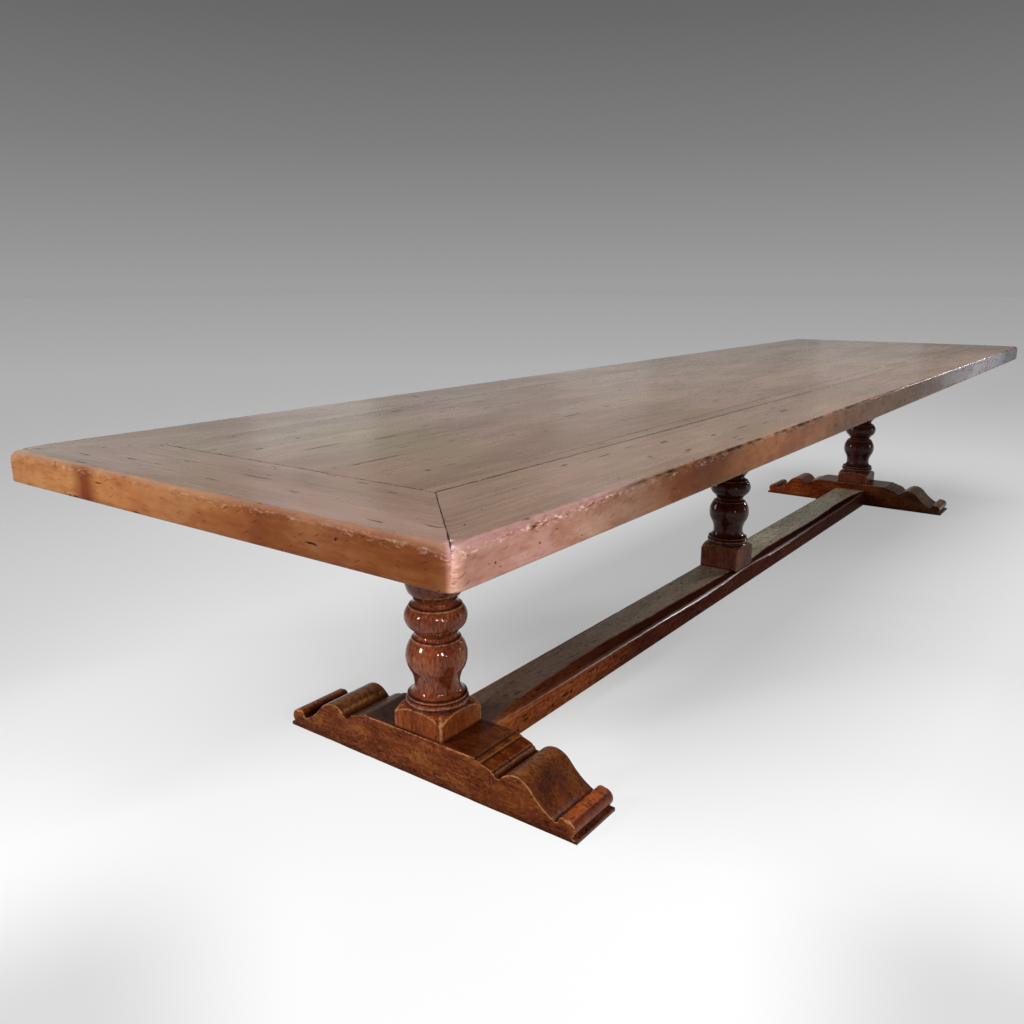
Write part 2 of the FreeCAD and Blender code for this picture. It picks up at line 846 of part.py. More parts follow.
def make_bearer(name, middle):
    body = make_body(f"bearer_{name}")
    outline = make_sketch(body, "outline", "YZ_Plane")
    draw_outline(outline, bearer_outline())
    pad(body, outline, size.bearer_width, symmetric=True)

    mortise = make_sketch(body, "mortise", "XY_Plane", -size.bearer_depth)
    draw_square(mortise, size.tenon_width)
    cut(body, mortise, size.bearer_tenon_length + size.tenon_gap, reverse=True)
    centre = [(zero, zero)]
    drill_down(body, "bolt_head", centre, fit_hole(size.bolt_head_diameter), size.bearer_bolt_seat)
    drill_down(body, "bolt", centre, fit_hole(size.bolt_diameter), size.bearer_depth - size.bearer_tenon_length)

    for kind, lines, grip in (
        ("plank_screw", plank_screw_lines, size.plank_screw_grip),
        ("border_screw", border_screw_lines, size.border_screw_grip),
    ):
        centres = [(row, line) for line in lines.values() for row in screw_rows]
        drill_down(body, kind, centres, fit_hole(size.screw_diameter), grip)
        drill_down(body, f"{kind}_head", centres, fit_hole(size.screw_head_diameter), size.bearer_depth, -grip)
    place(body, x=middle, z=top_base)
    return body


# Fasteners: each node is a group of identical pieces.


def make_headed(label, centres, shank, head, seat, points_up):
    """Screws or bolts with a flat seat under the head; shank and head are (diameter, length)."""
    body = make_body(label)
    shanks = make_sketch(body, "shanks", "XY_Plane", seat)
    draw_circles(shanks, centres, shank[0])
    pad(body, shanks, shank[1], reverse=not points_up)
    heads = make_sketch(body, "heads", "XY_Plane", seat)
    draw_circles(heads, centres, head[0])
    pad(body, heads, head[1], reverse=points_up)
    return body


def make_fasteners():
    axes = [(middle, zero) for middle in column_places.values()]
    bolt = (size.bolt_diameter, size.bolt_length)
    bolt_head = (size.bolt_head_diameter, size.bolt_head_height)
    make_headed("foot_bolts", axes, bolt, bolt_head, size.bolt_seat, True)
    make_headed("bearer_bolts", axes, bolt, bolt_head, top_base - size.bearer_bolt_seat, False)

    screw_head = (size.screw_head_diameter, size.screw_head_height)
    for label, lines, grip in (
        ("plank_screws", plank_screw_lines, size.plank_screw_grip),
        ("border_screws", border_screw_lines, size.border_screw_grip),
    ):
        centres = [centre for line in lines.values() for centre in screw_places(line)]
        shank = (size.screw_diameter, grip + size.screw_bite)
        make_headed(label, centres, shank, screw_head, top_base - grip, True)

    pegs = make_body("stretcher_pegs")
    sketch = make_sketch(pegs, "section", "XY_Plane", size.peg_base)
    reach = foot_inner_face + size.stretcher_tenon_length / 2
    draw_circles(sketch, [(-reach, zero), (reach, zero)], size.peg_diameter)
    pad(pegs, sketch, size.peg_top - size.peg_base)


def check_document():
    for item in doc.Objects:
        if "Invalid" in item.State or "Error" in item.State:
            raise RuntimeError(f"{item.Name} failed: {item.State}")


def write_parts():
    os.makedirs("parts", exist_ok=True)
    bodies = [item for item in doc.Objects if item.TypeId == "PartDesign::Body"]
    for body in bodies:
        if body.Shape.isNull() or not body.Shape.isValid():
            raise RuntimeError(f"{body.Label} has no valid shape")
    for body in bodies:
        body.Shape.exportStep(f"parts/{body.Label}.step")
    print(len(bodies), "nodes written")


for label, (plan, joints) in boards.items():
    make_board(label, plan, joints)
for label, strip in strips.items():
    make_tongue(label, strip)
for name, middle in column_places.items():
    make_column(name, middle)
    make_bearer(name, middle)
make_foot("left", column_places["left"], False)
make_foot("right", column_places["right"], True)
make_stretcher()
make_fasteners()
doc.recompute()
check_document()
write_parts()
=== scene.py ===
import math
from functools import partial
import bpy
import numpy as np
from mathutils import Matrix, Vector


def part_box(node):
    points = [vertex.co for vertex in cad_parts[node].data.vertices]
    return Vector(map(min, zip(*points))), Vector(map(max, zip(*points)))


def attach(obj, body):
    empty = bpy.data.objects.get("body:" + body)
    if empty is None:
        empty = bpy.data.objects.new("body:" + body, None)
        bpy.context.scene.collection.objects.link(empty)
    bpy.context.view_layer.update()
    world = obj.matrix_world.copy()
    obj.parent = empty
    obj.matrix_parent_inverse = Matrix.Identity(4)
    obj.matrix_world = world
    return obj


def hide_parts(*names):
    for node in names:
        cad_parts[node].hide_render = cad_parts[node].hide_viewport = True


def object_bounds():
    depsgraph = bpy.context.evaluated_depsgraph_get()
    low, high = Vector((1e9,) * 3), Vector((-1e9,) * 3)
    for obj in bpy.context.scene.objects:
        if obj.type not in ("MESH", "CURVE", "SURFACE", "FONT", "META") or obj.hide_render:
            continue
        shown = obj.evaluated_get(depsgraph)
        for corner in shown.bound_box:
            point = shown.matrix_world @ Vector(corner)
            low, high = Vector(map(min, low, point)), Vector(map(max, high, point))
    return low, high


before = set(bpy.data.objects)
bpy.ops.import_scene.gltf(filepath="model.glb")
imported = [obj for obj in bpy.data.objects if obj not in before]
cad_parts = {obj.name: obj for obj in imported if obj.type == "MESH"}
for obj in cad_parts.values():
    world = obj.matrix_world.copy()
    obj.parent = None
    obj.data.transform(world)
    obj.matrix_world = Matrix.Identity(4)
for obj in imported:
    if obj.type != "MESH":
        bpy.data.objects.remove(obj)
cadLow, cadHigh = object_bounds()
scene = bpy.context.scene
scene.view_settings.view_transform = "Standard"
print("frame loaded:", len(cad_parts), "nodes")


def hexColor(text):
    # sRGB hex to linear, channel by channel
    values = [int(text[i:i + 2], 16) / 255 for i in (1, 3, 5)]
    return tuple(v / 12.92 if v <= 0.04045 else ((v + 0.055) / 1.055) ** 2.4 for v in values) + (1.0,)


def addNode(tree, kind, inputs=(), ramp=None, output=0, **settings):
    # a node with its settings, values or links for its sockets, by name or in their order, and the stops of its ramp;
    # gives one of its outputs, or all of them for None
    node = tree.nodes.new("ShaderNode" + kind)
    for key, value in settings.items():
        setattr(node, key, value)
    for socket, value in inputs.items() if isinstance(inputs, dict) else enumerate(inputs):
        if isinstance(value, bpy.types.NodeSocket):
            tree.links.new(value, node.inputs[socket])
        else:
            node.inputs[socket].default_value = hexColor(value) if isinstance(value, str) else value
    if ramp:      # stops of a place and a colour, or of a place and a plain number
        stops = node.color_ramp.elements
        while len(stops) < len(ramp):
            stops.new(0.5)
        for stop, (position, color) in zip(stops, ramp):
            stop.position = position
            stop.color = hexColor(color) if isinstance(color, str) else (color, color, color, 1)
    return node.outputs if output is None else node.outputs[output]


def newFinish(name):
    # a material, and what adds a node to its empty tree
    material = bpy.data.materials.new(name)
    material.use_nodes = True
    material.node_tree.nodes.clear()
    return material, partial(addNode, material.node_tree)


def addObject(name, data):
    thing = bpy.data.objects.new(name, data)
    scene.collection.objects.link(thing)
    return thing


def waves(position, seed, lengths):
    # sum of sine waves of the given lengths with seeded phases, about -1 to 1
    phases = np.random.default_rng(seed).uniform(0, 2 * np.pi, len(lengths))
    total = sum(np.sin(2 * np.pi * position / size + phase) for size, phase in zip(lengths, phases))
    return total / math.sqrt(len(lengths))


def chips(position, seed, count, span, width, depth):
    # rounded notches of random place, width and depth, added up along a line
    rng = np.random.default_rng(seed)
    middles = rng.uniform(span[0], span[1], count)
    widths = rng.uniform(width[0], width[1], count)
    depths = depth[0] + (depth[1] - depth[0]) * rng.uniform(0, 1, count) ** 3
    reach = (position[..., None] - middles) / widths
    return (depths * np.clip(1 - reach ** 2, 0, None) ** 1.5).sum(-1)


def spread(start, end, first, last):
    # places from start to end whose spacing grows evenly from first to last
    count = max(2, int(round(2 * abs(end - start) / (first + last))))
    t = np.linspace(0, 1, count + 1)
    return start + (end - start) * (first * t + (last - first) * t ** 2 / 2) / ((first + last) / 2)


def softMin(a, b, blend):
    # the smaller of two values with the crossing rounded over about the blend length
    gap = np.clip(0.5 + 0.5 * (b - a) / blend, 0, 1)
    return b * (1 - gap) + a * gap - blend * gap * (1 - gap)


def bell(value, middle, width):
    # a bell of height 1 round the middle
    return np.exp(-((value - middle) / width) ** 2)


def ease(value, start, length):
    # a straight ramp from 0 at the start to 1 a length further on, level outside them
    return np.clip((value - start) / length, 0, 1)


def tableAt(table, place):
    # a table of place and one or more values, read off at other places, the values last
    first, *columns = np.array(table, float).T
    return np.stack([np.interp(place, first, column) for column in columns], -1)


def loftPiece(name, points, node, extras, dull):
    # rows of closed section loops joined by quads, with a flat polygon at each end, faces turned outwards
    rows, cols = points.shape[:2]
    row = np.arange(rows - 1)[:, None] * cols
    col = np.arange(cols)[None, :]
    after = (col + 1) % cols
    quads = np.stack([row + col, row + after, row + cols + after, row + cols + col], -1).reshape(-1, 4)
    caps = [np.arange(cols)[None, ::-1], np.arange(cols)[None] + (rows - 1) * cols]
    flat = points.reshape(-1, 3)
    corner = flat[quads]
    volume = np.einsum("ij,ij->", corner[:, 0], np.cross(corner[:, 1], corner[:, 2]))
    volume += np.einsum("ij,ij->", corner[:, 0], np.cross(corner[:, 2], corner[:, 3]))
    for cap in caps:
        loop = flat[cap[0]]
        volume += np.einsum("j,ij->", loop[0], np.cross(loop[1:-1], loop[2:]))
    loops = [part if volume > 0 else part[:, ::-1] for part in [quads] + caps]
    index = np.concatenate([part.reshape(-1) for part in loops])
    sizes = np.concatenate([np.full(len(part), part.shape[1]) for part in loops])
    mesh = bpy.data.meshes.new(name)
    mesh.vertices.add(len(flat))
    mesh.vertices.foreach_set("co", flat.astype(np.float32).ravel())
    mesh.loops.add(len(index))
    mesh.loops.foreach_set("vertex_index", index.astype(np.int32))
    mesh.polygons.add(len(sizes))
    mesh.polygons.foreach_set("loop_start", (np.cumsum(sizes) - sizes).astype(np.int32))
    mesh.polygons.foreach_set("use_smooth", np.arange(len(sizes)) < len(quads))      # the end polygons stay flat
    for key, values in extras.items():
        isVector = values.ndim == 3
        layer = mesh.attributes.new(key, "FLOAT_VECTOR" if isVector else "FLOAT", "POINT")
        values = np.broadcast_to(values, points.shape if isVector else points.shape[:2])
        layer.data.foreach_set("vector" if isVector else "value", values.astype(np.float32).ravel())
    dull = np.broadcast_to(dull, points.shape[:2]).reshape(-1)
    mean = np.concatenate([dull[part].mean(1) for part in loops])
    mesh.polygons.foreach_set("material_index", (mean > 0.5).astype(np.int32))      # the second finish is duller
    mesh.update(calc_edges=True)
    mesh.validate()
    piece = addObject(name, mesh)
    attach(piece, "root")
    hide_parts(node)
    return piece


# the top: mitred border boards round loose planks
top = {
    "cornerRound": 0.022,     # plan radius of the four corners as worn
    "upperArris": 0.0115,     # worn upper edge
    "lowerArris": 0.005,
    "jointArris": 0.0007,     # small rounding where boards meet
    "jointGap": 0.0003,
    "jointLine": 0.0020,      # half width of the dark line along a joint
    "sideSteps": 9,
    "topSteps": 14,
    "rowNear": 0.0028,        # spacing of rows at the near end and at the far end
    "rowFar": 0.0085,
    "plankRows": (0.005, 0.011),
    "endRows": (0, 0.0003, 0.0008, 0.0015, 0.0028, 0.0048, 0.0075),     # first rows from a mitre and from a plank's end
    "plankEndRows": (0, 0.0003, 0.0008, 0.0015, 0.003),
    "endSpace": 0.003,        # from the last of those to the even rows
    "arrisLimits": (0.004, 0.0155),
    "cornerWear": (0.009, 0.055),       # extra rounding of the arris at the corners, and how far it reaches
    "jointLimits": (0.0005, 0.0034),
    "hollow": 0.00025,        # how far the faces have sunk
    "patternStep": (5.3, 1.7, 0.37),    # from one board's pattern to the next, so that no two are alike
    # patches of colour on the top: centre and size along x and y, strength; the pale, grey and olive ones are painted
    # sheen and painted reflections of windows
    "brown": ((-1.5, 0.6, -0.2, 0.22, 1), (-2.05, 0.2, -0.1, 0.2, 1.6)),
    "paleSheen": ((-1.1, 0.6, -0.48, 0.09, 1), (-2.1, 0.22, 0.35, 0.35, 0.7)),
    "mossy": ((-1.75, 0.16, 0.12, 0.3, 1),),
    "ashen": ((-1.1, 0.4, 0.36, 0.12, 1),),
    # what each patch and each even change adds to red, green and blue: greyer towards the back is a painted sheen, the
    # reflection patches are painted reflections, and darker towards the far end is painted shade
    "shades": {"brown": (-0.06, -0.11, -0.15), "paleSheen": (0.12, 0.16, 0.17), "mossy": (-0.07, 0.03, -0.10),
               "ashen": (0.05, 0.12, 0.16), "back": (0.08, 0.19, 0.30), "nearCornerTint": (0.02, -0.03, 0.04),
               "waxed": (-0.05, 0.0, -0.09), "farEnd": (-0.16, -0.11, -0.12)},
}
halfLength, halfWidth = cadHigh.x, cadHigh.y
under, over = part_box("plank_middle")[0].z, cadHigh.z
innerLeft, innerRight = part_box("plank_front")[0].x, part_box("plank_front")[1].x
slipJoint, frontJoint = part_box("plank_front")[0].y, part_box("plank_front")[1].y
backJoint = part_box("plank_middle")[1].y
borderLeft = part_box("border_front")[1].y      # inner edge of the front border at its two ends
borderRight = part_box("plank_slip")[0].y


def boardSection(outer):
    # one loop round a board as columns: share of the width, fixed inset, inset per arris, inset per joint arris,
    # height, height per arris, height per joint arris, wear, how far the face is turned to the side
    small = np.linspace(0, np.pi / 2, 5)
    quarter = np.linspace(0, np.pi / 2, 9) if outer else small
    lower = top["lowerArris"] if outer else top["jointArris"]
    edge = (1, 0) if outer else (0, 1)        # which of the two arrises the first edge follows
    columns = [(0.5, 0, 0, 0, under, 0, 0, 0, 1), (0.25, 0, 0, 0, under, 0, 0, 0, 1)]
    for a in quarter:
        columns.append((0, lower * (1 - math.sin(a)), 0, 0, under + lower * (1 - math.cos(a)), 0, 0, 0.15, 1))
    base = under + lower
    for share in np.linspace(0, 1, (top["sideSteps"] if outer else 2) + 1)[1:-1]:
        columns.append((0, 0, 0, 0, base + (over - base) * share, -share * edge[0], -share * edge[1],
                        0.25 * outer * (share > 0.85), 1))
    for a in quarter:
        rise, turn = 1 - math.cos(a), math.sin(a) - 1
        columns.append((0, 0, rise * edge[0], rise * edge[1], over, turn * edge[0], turn * edge[1],
                        bell(a, 0.1, 0.45), 1 - a / (np.pi / 2)))
    for inset, fade in ((0.0016, 0.1), (0.004, 0.08), (0.009, 0.05), (0.018, 0.02)):
        columns.append((0, inset, edge[0], edge[1], over, 0, 0, fade * outer, 0))
    for share in np.linspace(0, 1, top["topSteps"] + 1)[1:-1]:
        columns.append((share, 0.03 * (1 - share) - 0.016 * share, 0, 0, over, 0, 0, 0, 0))
    for inset in (0.010, 0.005, 0.0025, 0.0010):
        columns.append((1, -inset, 0, -1, over, 0, 0, 0, 0))
    for a in small[::-1]:
        columns.append((1, 0, 0, math.cos(a) - 1, over, 0, math.sin(a) - 1, 0, 0))
    for a in small:
        columns.append((1, -top["jointArris"] * (1 - math.cos(a)), 0, 0,
                        under + top["jointArris"] * (1 - math.sin(a)), 0, 0, 0, 1))
    columns.append((0.75, 0, 0, 0, under, 0, 0, 0, 1))
    return np.array(columns).T


def makeBoard(name, corners, order, rowSpacing, seams, ends, outer=False, tones=((0, 1, 1, 1),),
              opening=0.0, rim=0.0, rub=1.0):
    # a board between an edge from start to end and an inner edge, its rows fanned to follow the slanting ends;
    # ends is the width of the dark line there, opening the gap at a mitre, rim the dirt and rub the wear of the arris
    start, end, innerStart, innerEnd = np.array(corners, float)
    length = np.linalg.norm(end - start)
    along = (end - start) / length
    inward = np.array([-along[1], along[0]])
    inward = inward * np.sign((innerStart - start) @ inward)
    tip = top["cornerRound"] * (1 - math.sqrt(0.5)) if outer else top["jointGap"]
    lead = np.array(top["endRows" if outer else "plankEndRows"])
    body = spread(lead[-1] + tip + top["endSpace"], length - lead[-1] - tip - top["endSpace"], *rowSpacing)
    place = np.concatenate([lead + tip, body, length - tip - lead[::-1]])
    share = ((place - tip) / (length - 2 * tip))[:, None]
    round0 = top["cornerRound"]
    fromCorner = np.minimum(place, length - place)
    inset = np.full_like(place, top["jointGap"])
    if outer:
        inset = round0 - np.sqrt(np.clip(round0 ** 2 - np.clip(round0 - fromCorner, 0, None) ** 2, 0, None))
    outerEdge = start + along * place[:, None] + inward * inset[:, None]
    innerEdge = innerStart + (innerEnd - innerStart) * share - inward * top["jointGap"]
    width = (innerEdge - outerEdge) @ inward
    slant = (innerEdge - outerEdge) / width[:, None]
    mitre = abs(slant[0] @ inward) / np.linalg.norm(slant[0])
    frac, fixed, perArris, perJoint, height, arrisUp, jointUp, wearShare, face = boardSection(outer)
    # the outer arris is worn in long waves and chipped, and each joint has its own small chips
    worn = top["upperArris"] * (1 + 0.16 * waves(place, order, (0.31, 0.17, 0.083, 0.041)))
    worn = worn * (1 - 0.4 * (rim > 0.5) * ease(place, 0.3, 0.3))
    worn = worn + chips(place, order + 40, int(length * 70), (0, length), (0.002, 0.008), (0.0002, 0.0030))
    extra, reach = top["cornerWear"]
    worn = (np.clip(worn, *top["arrisLimits"]) + extra * bell(fromCorner, 0, reach))[:, None]
    jointWorn = top["jointArris"] * (1 + 0.35 * waves(place, order + 20, (0.12, 0.05, 0.021)))
    jointWorn = jointWorn + chips(place, order + 60, int(length * 22), (0, length), (0.003, 0.014), (0.0002, 0.0022))
    jointWorn = np.clip(jointWorn, *top["jointLimits"])[:, None]
    # how open each joint is along its run: the two long edges from their tables, by place along x or y
    across = 0 if abs(along[0]) > 0.5 else 1
    firstSeam, innerSeam = (tableAt(table, outerEdge[:, across]) for table in seams)
    seam = np.where(frac > 0.5, innerSeam, firstSeam)
    jointWorn = np.maximum(jointWorn * (0.15 + 0.85 * seam), 0.0002)
    narrow = np.minimum(1, width[:, None] / 0.12)      # the tapered board has less room for its edge loops
    depth = frac * width[:, None] + fixed * narrow + perArris * worn + perJoint * jointWorn
    z = height + arrisUp * worn + jointUp * jointWorn
    upper = z > under + 0.02
    flatTop = (height > over - 1e-6) & (arrisUp == 0) & (jointUp == 0)
    edgeRoom = np.clip(np.minimum(depth, width[:, None] - depth) / 0.03, 0, 1)
    hollow = top["hollow"] * (1 + waves(place[:, None] + 3 * depth, order + 80, (0.9, 0.47, 0.21)))
    z = z - flatTop * edgeRoom * np.clip(hollow, 0, None)
    # the ends: distance from the slanting end plane, a small worn arris there, and a joint that opens at the corner
    fromStart, fromEnd = place - place[0], place[-1] - place
    endGap = (np.minimum(fromStart, fromEnd) * mitre)[:, None]
    endArris = top["jointArris"] * (1.1 + 0.35 * waves(depth, order + 100, (0.09, 0.04, 0.017)))
    endArris = endArris + chips(depth, order + 110, 14, (0, width.max()), (0.003, 0.012), (0.0002, 0.0018))
    drop = endArris - np.sqrt(np.clip(endArris ** 2 - np.clip(endArris - endGap, 0, None) ** 2, 0, None))
    z = np.where(upper, z - drop * ease(z - under, 0.02, 0.03), z)
    wide = (0.0002 + opening * np.clip(1 - depth / 0.09, 0, 1) ** 2) * np.clip(
        1 + 0.5 * waves(depth, order + 130, (0.05, 0.013)), 0.2, 2)
    wide = wide * ease(z - over, -0.016, 0.012) * outer
    shift = wide * (np.clip(1 - fromStart / 0.012, 0, 1) - np.clip(1 - fromEnd / 0.012, 0, 1))[:, None]
    plan = outerEdge[:, None, :] + slant[:, None, :] * depth[..., None] + along * shift[..., None]
    points = np.concatenate([plan, z[..., None]], -1)
    # what the finish reads: pattern place, rubbed edges, dark joint lines, tone and which face it is
    isTop = z > over - 0.006
    fromJoint = np.where(frac > 0.5, width[:, None] - depth, depth if not outer else 1.0)
    lineWidth = top["jointLine"] * np.clip(1 + 0.4 * waves(place, order + 150, (0.23, 0.06, 0.017)), 0.3, 2)[:, None]
    mitreLine = ends * np.clip(0.9 + 0.8 * waves(depth, order + 160, (0.05, 0.019, 0.008)), 0.1, 2)
    joint = seam * np.clip(1.6 - fromJoint / lineWidth, 0, 1)
    joint = np.maximum(joint, np.clip(1.3 - endGap / mitreLine, 0, 1)) * isTop
    # dirt along the upper arris
    dirty = rim * ease(place, 0.35, 0.2) * np.clip(0.8 + 0.5 * waves(place, order + 170, (0.4, 0.13, 0.05)), 0.1, 1.3)
    dirty = dirty[:, None] * bell(face, 0.55, 0.28) * (face > 0) * (face < 1)
    joint = np.maximum(joint, dirty * (z > under + 0.03))
    girth = np.where(isTop | (face < 0.5), over - under + depth, np.where(z > under + 0.006, z - under, -depth))
    steps = [step * order for step in top["patternStep"]]
    grain = np.stack([np.broadcast_to(place[:, None] + steps[0], depth.shape), girth + steps[1],
                      np.full(depth.shape, steps[2])], -1)
    wear = wearShare * np.clip(0.8 + 0.5 * waves(place[:, None], order + 120, (0.45, 0.19, 0.07)), 0.25, 1.2)
    wear = wear * (1 + 1.2 * (rim > 0.5) * ease(place[:, None], 0.5, 0.6))
    # pale rub up the rounded near corner, partly a painted highlight
    cornerRubAndHighlight = np.exp(-np.minimum(fromStart, fromEnd) / 0.005)[:, None] * ((frac == 0) & (face > 0)) * outer
    wear = np.maximum(wear, cornerRubAndHighlight * (z > under + 0.003))
    # the outer side's tone: tint and painted light, highlight, shade and reflection
    tone = 1 + (tableAt(tones, place)[:, None, :] - 1) * face[None, :, None]
    planX, planY = plan[..., 0], plan[..., 1]
    # painted light on the top: sheen and window reflections in the pale, grey and olive patches and towards the back,
    # shade towards the far end
    parts = {key: sum(strength * bell(planX, x, wide) * bell(planY, y, deep) for x, wide, y, deep, strength in top[key])
             for key in ("brown", "paleSheen", "mossy", "ashen")}
    parts["back"] = planY / halfWidth
    parts["farEnd"] = np.clip(planX / halfLength, 0, 1)
    # pinker near the front left corner
    parts["nearCornerTint"] = bell(np.linalg.norm(plan - [-halfLength, -halfWidth], axis=-1), 0, 0.3)
    parts["waxed"] = np.clip(0.5 + 0.6 * waves(planX - 0.7 * planY, 91, (0.83, 0.47, 0.29)), 0, 1) - 0.4
    shades = sum(parts[key][..., None] * np.array(shade) for key, shade in top["shades"].items())
    tone = tone * (1 + (1 - face)[None, :, None] * shades)
    return loftPiece(name, points, name.replace("worn_", ""), {
        "grain": grain, "wear": wear * rub, "joint": joint, "tone": tone, "face": face}, face * 6)


near, far = top["rowNear"], top["rowFar"]
# tint and painted light along a border's outer side: a pale painted highlight up the near corner, painted light and
# shade along the end and front, a grey painted reflection towards the far end of the front, and a dark smudge on the
# end; place from its start, factors for red, green and blue
frontTintAndLight = [(0.0064, 1.7, 2.4, 5.5), (0.014, 1.15, 1.5, 3.2), (0.026, 0.8, 1.05, 2.4),
              (0.15, 0.95, 1.27, 2.95), (0.32, 1.04, 1.42, 3.0), (0.45, 0.9, 1.25, 2.45),
              (0.62, 0.73, 0.58, 0.38), (0.8, 0.73, 0.58, 0.38), (1.1, 2.35, 2.35, 2.7), (1.6, 1.07, 1.28, 1.9),
              (2.2, 0.73, 1.05, 1.75), (3.0, 0.93, 2.1, 6.3), (4.45, 1.05, 2.8, 9.4)]
leftTintAndLight = [(0, 1.05, 1.15, 1.2), (0.1, 1.1, 1.25, 1.35), (0.24, 1.13, 1.27, 1.3), (0.28, 0.48, 0.28, 0.2),
             (0.298, 0.48, 0.28, 0.2), (0.335, 1.0, 1.0, 1.0), (0.45, 0.9, 0.86, 0.87), (0.58, 0.87, 0.9, 1.0),
             (0.74, 0.95, 0.95, 0.95), (0.79, 0.68, 0.6, 0.55), (0.86, 0.7, 0.67, 0.74), (0.93, 0.74, 0.68, 0.82),
             (1.0, 0.62, 0.53, 0.53), (1.1, 0.55, 0.45, 0.44), (1.131, 0.6, 0.58, 0.7), (1.1376, 1.7, 2.4, 5.5)]
# how dark each joint is along the top: place, strength; the boards have closed up except in some stretches
closed = [(0, 0.0)]
frontSeam = [(-2.02, 1.0), (-1.75, 0.9), (-1.6, 0.5), (-1.5, 0.9), (-0.2, 0.9), (0.6, 0.55), (2.1, 0.5)]
slipSeam = [(-1.7, 0.05), (-1.4, 0.45), (-0.4, 0.5), (2.1, 0.4)]
plankSeam = [(-1.945, 0.05), (-1.93, 0.9), (-1.83, 0.9), (-1.815, 0.05), (-1.2, 0.25), (-1.1, 0.05), (2.1, 0.08)]
rearSeam = [(-2.0, 0.03), (-1.3, 0.1), (-1.0, 0.25), (-0.7, 0.1), (2.1, 0.12)]
backSeam = [(-2.02, 0.15), (-1.4, 0.2), (-1.3, 0.9), (-0.7, 0.6), (0.2, 0.35), (2.1, 0.25)]
leftSeam = [(-0.4, 1.0), (-0.1, 0.95), (0.05, 0.8), (0.2, 0.95), (0.4, 1.0)]
rightSeam = [(0, 0.3)]
frontLeft, frontRight = (-halfLength, -halfWidth), (halfLength, -halfWidth)
backLeft, backRight = (-halfLength, halfWidth), (halfLength, halfWidth)
# the two ends of every line between the planks, from the front border to the back border
lines = [((innerLeft, first), (innerRight, last)) for first, last in (
    (borderLeft, borderRight), (slipJoint, slipJoint), (frontJoint, frontJoint), (backJoint, backJoint),
    (-borderLeft, -borderRight))]
boards = [
    makeBoard("worn_border_front", (frontLeft, frontRight) + lines[0], 1, (near, far), (closed, frontSeam),
              0.0007, True, frontTintAndLight, 0.0003, 0.95),
    makeBoard("worn_border_back", (backLeft, backRight) + lines[-1], 2, (near * 1.4, far), (closed, backSeam),
              0.0006, True, opening=0.0002, rim=0.3),
    makeBoard("worn_border_left", (backLeft, frontLeft, lines[-1][0], lines[0][0]), 3, (near, near * 0.8),
              (closed, leftSeam), 0.0007, True, leftTintAndLight, 0.0001, 0.0, 0.4),
    makeBoard("worn_border_right", (frontRight, backRight, lines[0][1], lines[-1][1]), 4, (near, near),
              (closed, rightSeam), 0.0006, True, opening=0.0002, rim=0.3),
]
seams = (frontSeam, slipSeam, plankSeam, rearSeam, backSeam)
for k, (name, ends) in enumerate((("slip", 0.0014), ("front", 0.0016), ("middle", 0.0016), ("back", 0.0016))):
    boards.append(makeBoard("worn_plank_" + name, lines[k] + lines[k + 1], 5 + k, top["plankRows"],
                            seams[k:k + 2], ends))
print("top boards made")


def bentLine(corners, spacing):
    # a polyline whose stretches bow out by the given rise, to the right of the way it runs, sampled along its length
    across, place, rise = np.array(corners, float).T
    runs = []
    for first in range(len(corners) - 1):
        a = np.array([across[first], place[first]])
        b = np.array([across[first + 1], place[first + 1]])
        chord = np.linalg.norm(b - a)
        t = np.linspace(0, 1, max(1, int(math.ceil(chord / spacing))), endpoint=False)[:, None]
        line = a + (b - a) * t
        if rise[first]:
            radius = (chord ** 2 / 4 + rise[first] ** 2) / (2 * abs(rise[first]))
            bow = np.sqrt(np.clip(radius ** 2 - ((t - 0.5) * chord) ** 2, 0, None)) - radius + abs(rise[first])
            line = line + np.array([b[1] - a[1], a[0] - b[0]]) / chord * bow * np.sign(rise[first])
        runs.append(line)
    return np.concatenate(runs + [np.array([[across[-1], place[-1]]])])


